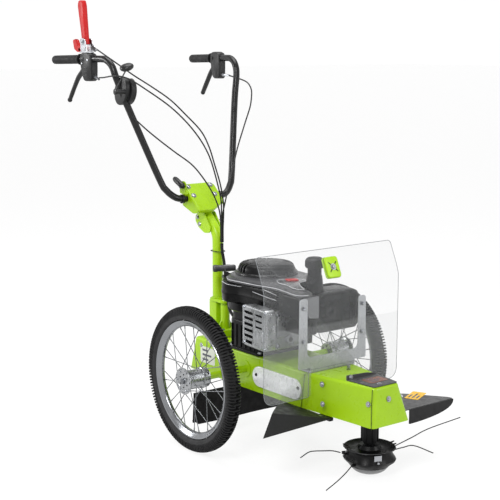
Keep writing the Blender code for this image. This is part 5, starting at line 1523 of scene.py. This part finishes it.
BAR_HALF = ((-0.411, 0.090, 0.818), (-0.413, 0.118, 0.826), (-0.426, 0.146, 0.851), (-0.443, 0.168, 0.897),
            (-0.529, 0.247, 1.163), (-0.556, 0.277, 1.266), (-0.571, 0.2835, 1.306), (-0.600, 0.2885, 1.329),
            (-0.652, 0.2938, 1.3353), (-0.905, 0.3221, 1.3300))
GRIP_START, GRIP_END = Vector((-0.761, 0.306, 1.333)), Vector((-0.931, 0.325, 1.3295))


def mirrored(point, side):
    """A point given for the left side, on either side."""
    return Vector((point[0], point[1] * side, point[2]))


def handlebar():
    """The bent tube with its ribbed grips."""
    half = smooth(BAR_HALF, 0.012)
    path = [mirrored(p, -1) for p in half[::-1]] + [Vector((-0.411, 0, 0.818))] + half
    bm = bmesh.new()
    sweep(bm, path, 0.0128, 24)
    piece("bar_tube", bm, "handlebar", BLACK_PAINT_AND_SHADE, replaces=("handlebar_tube",), angle=40)
    for side, name in ((-1, "right"), (1, "left")):
        start, end = mirrored(GRIP_START, side), mirrored(GRIP_END, side)
        length = (end - start).length
        profile = [(0.0131, 0.0), (0.0200, 0.0), (0.0208, 0.0012), (0.0208, 0.0040), (0.0196, 0.0052),
                   (0.0166, 0.0062)]
        spot = 0.0120
        while spot < length - 0.014:
            profile += [(0.0158, spot - 0.0030), (0.0168, spot - 0.0014), (0.0168, spot + 0.0014),
                        (0.0158, spot + 0.0030)]
            spot += 0.0082
        profile += [(0.0166, length - 0.0100), (0.0164, length - 0.0040), (0.0150, length - 0.0010),
                    (0.0110, length), (0, length)]
        bm = bmesh.new()
        lathe(bm, profile, start, end - start, 40)
        piece(name + "_grip_rubber", bm, "handlebar", GRIP_RUBBER,
              replaces=(name + "_grip",), angle=50)


def perch(side):
    """The lever housing ahead of a grip: clamp, casting, cable adjuster and screws."""
    name = "right" if side < 0 else "left"
    turned = turn(Z, -6.4 * side)
    axis = mirrored(GRIP_START - GRIP_END, side).normalized()
    centre = mirrored(GRIP_START, side) + axis * 0.048 + Vector((0, 0, -0.006))
    u, w = turned @ X, turned @ Y
    shape = rounded([(-0.034, 0.020), (-0.024, 0.030), (0.006, 0.032), (0.028, 0.026), (0.036, 0.010),
                     (0.036, -0.030), (0.034, -0.068), (0.026, -0.076), (-0.008, -0.076), (-0.018, -0.066),
                     (-0.030, -0.030), (-0.036, -0.004)], 0.008, 5)[::-1]
    bm = bmesh.new()
    loft(bm, [[centre + u * x + Z * z + w * depth for x, z in shrink(shape, inset)]
              for inset, depth in ((0.0050, -0.0170), (0.0016, -0.0155), (0.0, -0.0120), (0.0, 0.0120),
                                   (0.0016, 0.0155), (0.0050, 0.0170))])
    rod(bm, centre - u * 0.0260 + Z * 0.006, centre - u * 0.0120 + Z * 0.006, 0.0192, sides=36)
    block(bm, centre + u * 0.004 + Z * 0.0255 - w * 0.004, (0.026, 0.018, 0.008), turned, bevel=0.003)
    block(bm, centre + u * 0.0300 - Z * 0.0600, (0.020, 0.018, 0.020), turned, bevel=0.004)
    for k in range(3):
        block(bm, centre - u * 0.002 - Z * (0.026 + 0.014 * k) + w * side * 0.0165, (0.030, 0.004, 0.004), turned,
              bevel=0.0015, segments=2)
    piece(name + "_perch_casting", bm, "handlebar", CONTROL,
          replaces=(name + "_perch",), angle=35)
    bm = bmesh.new()
    face = w * side
    socket_bolt(bm, centre + u * 0.014 + face * 0.0168 + Z * 0.002, face, 0.0044, 0.0028)
    socket_bolt(bm, centre - u * 0.0190 + face * 0.0185 - Z * 0.010, face, 0.0036, 0.0024)
    nose = centre + u * 0.0390 - Z * 0.0600
    cable = Vector(CABLES["drive_cable" if side < 0 else "brake_cable"][0])
    along = (cable - nose).normalized()
    rod(bm, nose, nose + along * 0.0100, 0.0066, sides=6)
    rod(bm, nose + along * 0.0100, cable + along * 0.0040, 0.0046, 0.0042, sides=20)
    piece(name + "_perch_adjuster", bm, "handlebar", ZINC, angle=30)


def blade(bm, path, widths, heights, across):
    """A lever: a rounded flat bar along a path, its width and height changing on the way."""
    path, across = [Vector(p) for p in path], Vector(across).normalized()
    rings = []
    for i, point in enumerate(path):
        along = (path[min(i + 1, len(path) - 1)] - path[max(i - 1, 0)]).normalized()
        up = along.cross(across).normalized()
        side = up.cross(along)
        ring = []
        for k in range(20):
            angle = 2 * math.pi * k / 20
            a, b = math.cos(angle), math.sin(angle)
            a, b = math.copysign(abs(a) ** 0.7, a), math.copysign(abs(b) ** 0.7, b)
            ring.append(point + side * widths[i] * a + up * heights[i] * b)
        rings.append(ring)
    loft(bm, rings)


def ramp(values, count):
    """The values spread evenly over a count of places."""
    result = []
    for k in range(count):
        place = k / (count - 1) * (len(values) - 1)
        low = min(int(place), len(values) - 2)
        result.append(values[low] + (values[low + 1] - values[low]) * (place - low))
    return result


LEVER_PIVOT = (-0.733, 0.303, 1.3035)


def levers():
    """The hand levers, the red clutch lever in its fork, and its catch."""
    for name, side, offsets, widths, heights in (
            ("drive_lever", -1, ((0.012, 0, 0.002), (0, 0, 0), (-0.028, 0, -0.020), (-0.052, -0.002, -0.040),
                                 (-0.080, -0.005, -0.078), (-0.112, -0.008, -0.126)),
             (0.0080, 0.0100, 0.0094, 0.0084, 0.0078, 0.0080, 0.0070),
             (0.0070, 0.0084, 0.0080, 0.0074, 0.0070, 0.0074, 0.0066)),
            ("brake_lever", 1, ((0.012, 0, 0.003), (0, 0, 0), (-0.030, 0.001, -0.026), (-0.065, 0.004, -0.069),
                                (-0.100, 0.008, -0.112)),
             (0.0080, 0.0096, 0.0094, 0.0092, 0.0092, 0.0086),
             (0.0070, 0.0082, 0.0080, 0.0078, 0.0080, 0.0066))):
        pivot = mirrored(LEVER_PIVOT, side)
        path = smooth([pivot + Vector(p) for p in offsets], 0.006)
        bm = bmesh.new()
        blade(bm, path, ramp(widths, len(path)), ramp(heights, len(path)), Y)
        ball(bm, path[-1], 0.0095, 20)
        rod(bm, pivot - Y * 0.0085, pivot + Y * 0.0085, 0.0080, sides=24)
        piece(name + "_blade", bm, name, LEVER_BLACK, replaces=(name,), angle=45)
        bm = bmesh.new()
        socket_bolt(bm, pivot + Y * side * 0.0086, Y * side, 0.0046, 0.0026)
        socket_bolt(bm, pivot - Y * side * 0.0086, -Y * side, 0.0046, 0.0026)
        piece(name + "_pin", bm, name, ZINC, angle=35)

    pivot = Vector((-0.722, -0.3035, 1.400))
    outline = rounded([(-0.016, -0.012), (0.010, -0.012), (0.006, 0.030), (0.000, 0.090), (-0.004, 0.134),
                       (-0.012, 0.152), (-0.038, 0.152), (-0.046, 0.134), (-0.028, 0.050)],
                      [0.004, 0.004, 0.02, 0.02, 0.010, 0.006, 0.006, 0.010, 0.02], 5)
    bm = bmesh.new()
    loft(bm, [[pivot + X * x + Z * z + Y * depth for x, z in shrink(outline, inset)]
              for inset, depth in ((0.0052, -0.0100), (0.0022, -0.0092), (0.0006, -0.0072), (0.0, -0.0040),
                                   (0.0, 0.0040), (0.0006, 0.0072), (0.0022, 0.0092), (0.0052, 0.0100))])
    piece("clutch_lever_grip", bm, "clutch_lever", RED_PLASTIC, replaces=("clutch_lever",),
          angle=40)
    bm = bmesh.new()
    for side in (-1, 1):
        slab(bm, rounded([(-0.018, 0.010), (-0.018, -0.030), (-0.010, -0.0417), (0.018, -0.0417),
                          (0.018, 0.004), (0.006, 0.012), (-0.010, 0.012)], 0.006), 0.0035,
             pivot + Y * side * 0.0145 + Vector((0, 0, -0.001)), X, Z)
    slab(bm, rectangle(0.056, 0.033, 0.005), 0.004, pivot + Vector((0, 0, -0.0400)))
    slab(bm, rounded([(0.012, -0.004), (0.040, -0.022), (0.046, -0.034), (0.040, -0.040), (0.010, -0.030)], 0.004),
         0.0035, pivot + Y * 0.0145, X, Z)
    hex_bolt(bm, pivot - Y * 0.0165, -Y, 0.0056, 0.0040)
    hex_bolt(bm, pivot + Y * 0.0165, Y, 0.0056, 0.0040)
    piece("clutch_fork", bm, "handlebar", ZINC, replaces=("clutch_bracket",), bevel=0.0005)
    bm = bmesh.new()
    nose = Vector((-0.668, -0.3055, 1.3755))
    along = (Vector((-0.6280, -0.3090, 1.3670)) - nose).normalized()
    rod(bm, nose - along * 0.012, nose + along * 0.010, 0.0058, 0.0050, 20)
    rod(bm, nose + along * 0.010, nose + along * 0.028, 0.0040, 0.0034, 16)
    piece("clutch_cable_boot", bm, "handlebar", CONTROL, angle=40)
    bm = bmesh.new()
    rod(bm, nose + along * 0.022, nose + along * 0.036, 0.0038, sides=16)
    piece("clutch_cable_ferrule", bm, "handlebar", ZINC, angle=40)

    catch = Vector((-0.764, -0.3065, 1.369))
    outline = rounded([(0.006, -0.006), (0.006, 0.006), (-0.016, 0.012), (-0.030, 0.036), (-0.044, 0.034),
                       (-0.036, 0.004), (-0.014, -0.006)], [0.003, 0.003, 0.006, 0.004, 0.004, 0.006, 0.003], 5)
    bm = bmesh.new()
    loft(bm, [[catch + Vector((x, 0.003, z)) + Y * depth for x, z in shrink(outline, inset)]
              for inset, depth in ((-0.0026, -0.0080), (-0.0008, -0.0070), (0.0, -0.0050), (0.0, 0.0050),
                                   (-0.0008, 0.0070), (-0.0026, 0.0080))])
    rod(bm, catch - Y * 0.0050, catch + Y * 0.0110, 0.0064, sides=24)
    for k in range(3):
        block(bm, catch + Vector((-0.0375 + 0.003 * k, 0.003, 0.0340 - 0.0075 * k)), (0.012, 0.014, 0.0020),
              turn(Y, -68), bevel=0.0006, segments=2)
    piece("safety_catch_body", bm, "safety_catch", RED_PLASTIC, replaces=("safety_catch",),
          angle=40)


THROTTLE_AT = Vector((-0.512, -0.295, 1.218))


def throttle():
    """The throttle control: an oval housing clamped to the bar, and its lever with a round knob."""
    slant = turn(Y, 24)
    u, v = slant @ X, slant @ Z

    def oval(bm, centre, wide, tall, levels):
        plan = [(wide * math.cos(2 * math.pi * k / 48), tall * math.sin(2 * math.pi * k / 48)) for k in range(48)]
        loft(bm, [[centre + u * x + v * z + Y * depth for x, z in shrink(plan, inset)]
                  for inset, depth in levels])

    bm = bmesh.new()
    oval(bm, Vector((-0.5440, -0.2620, 1.2190)), 0.0400, 0.0540,
         ((0.0040, -0.0070), (0.0010, -0.0062), (0.0, -0.0040), (0.0, 0.0100), (0.0020, 0.0120)))
    inner = Vector((-0.5300, -0.2400, 1.2170))
    oval(bm, inner, 0.0400, 0.0500, ((0.0030, -0.0110), (0.0, -0.0080), (0.0, 0.0080), (0.0030, 0.0110)))
    rod(bm, (-0.512, -0.2420, 1.218), (-0.512, -0.3070, 1.218), 0.0090, 0.0080, 28)
    piece("throttle_body", bm, "handlebar", CONTROL, replaces=("throttle_housing",),
          angle=35)
    bm = bmesh.new()
    oval(bm, inner, 0.0330, 0.0430, ((0.0, -0.0105), (0.0, -0.0122), (0.0020, -0.0128)))
    piece("throttle_face", bm, "handlebar", LEVER_BLACK, angle=35)
    bm = bmesh.new()
    block(bm, inner + u * 0.012 + v * 0.006 - Y * 0.0130, (0.007, 0.0016, 0.040), slant, bevel=0.0006)
    piece("throttle_scale", bm, "handlebar", ACCENT_AND_HIGHLIGHT, angle=35)
    bm = bmesh.new()
    hex_bolt(bm, (-0.5640, -0.2688, 1.2190), -Y, 0.0066, 0.0044)
    piece("throttle_screws", bm, "handlebar", ZINC, angle=30)

    pivot = Vector((-0.512, -0.3095, 1.218))
    tip = pivot + Vector((0.082, 0, 0.084))
    bm = bmesh.new()
    lathe(bm, ((0, -0.0022), (0.0105, -0.0022), (0.0118, -0.0012), (0.0120, 0.0012), (0.0110, 0.0022), (0, 0.0022)),
          pivot, Y, 32)
    path = smooth([pivot, pivot + Vector((0.020, 0, 0.024)), pivot + Vector((0.052, 0, 0.056)), tip], 0.008)
    blade(bm, path, [0.0016] * len(path), ramp((0.0060, 0.0040, 0.0030, 0.0026), len(path)), Y)
    lathe(bm, ((0, -0.0130), (0.0090, -0.0124), (0.0180, -0.0100), (0.0240, -0.0055), (0.0260, 0.0),
               (0.0245, 0.0050), (0.0190, 0.0095), (0.0095, 0.0122), (0, 0.0128)), tip + Z * 0.006,
          (0.10, -0.35, 0.93), 40)
    piece("throttle_handle", bm, "throttle_lever", LEVER_BLACK,
          replaces=("throttle_lever",), angle=45)


# ---------------------------------------------------------------- pieces that keep their CAD shape

KEPT = {
    "crankshaft": STEEL, "spindle_shaft": STEEL, "idler_arm": STEEL, "drive_axle": STEEL,
    "drive_belt": FLAP_RUBBER,
}


def carried_over():
    """Finishes for the CAD shapes that stay in the model as they are."""
    for name, material in KEPT.items():
        mesh = bpy.data.objects[name].data
        for number in range(max(1, len(mesh.materials))):
            if number < len(mesh.materials):
                mesh.materials[number] = material
            else:
                mesh.materials.append(material)


def main():
    camera()
    studio()
    cords()
    for side in (-1, 1):
        wheel(side)
    chassis()
    axle_tubes()
    access_cover()
    guards()
    stickers()
    head()
    crankcase()
    muffler()
    blower()
    trim()
    dome_cover()
    tank()
    starter_handle()
    shield()
    column()
    bracket()
    handlebar()
    for side in (-1, 1):
        perch(side)
    levers()
    throttle()
    carried_over()


main()
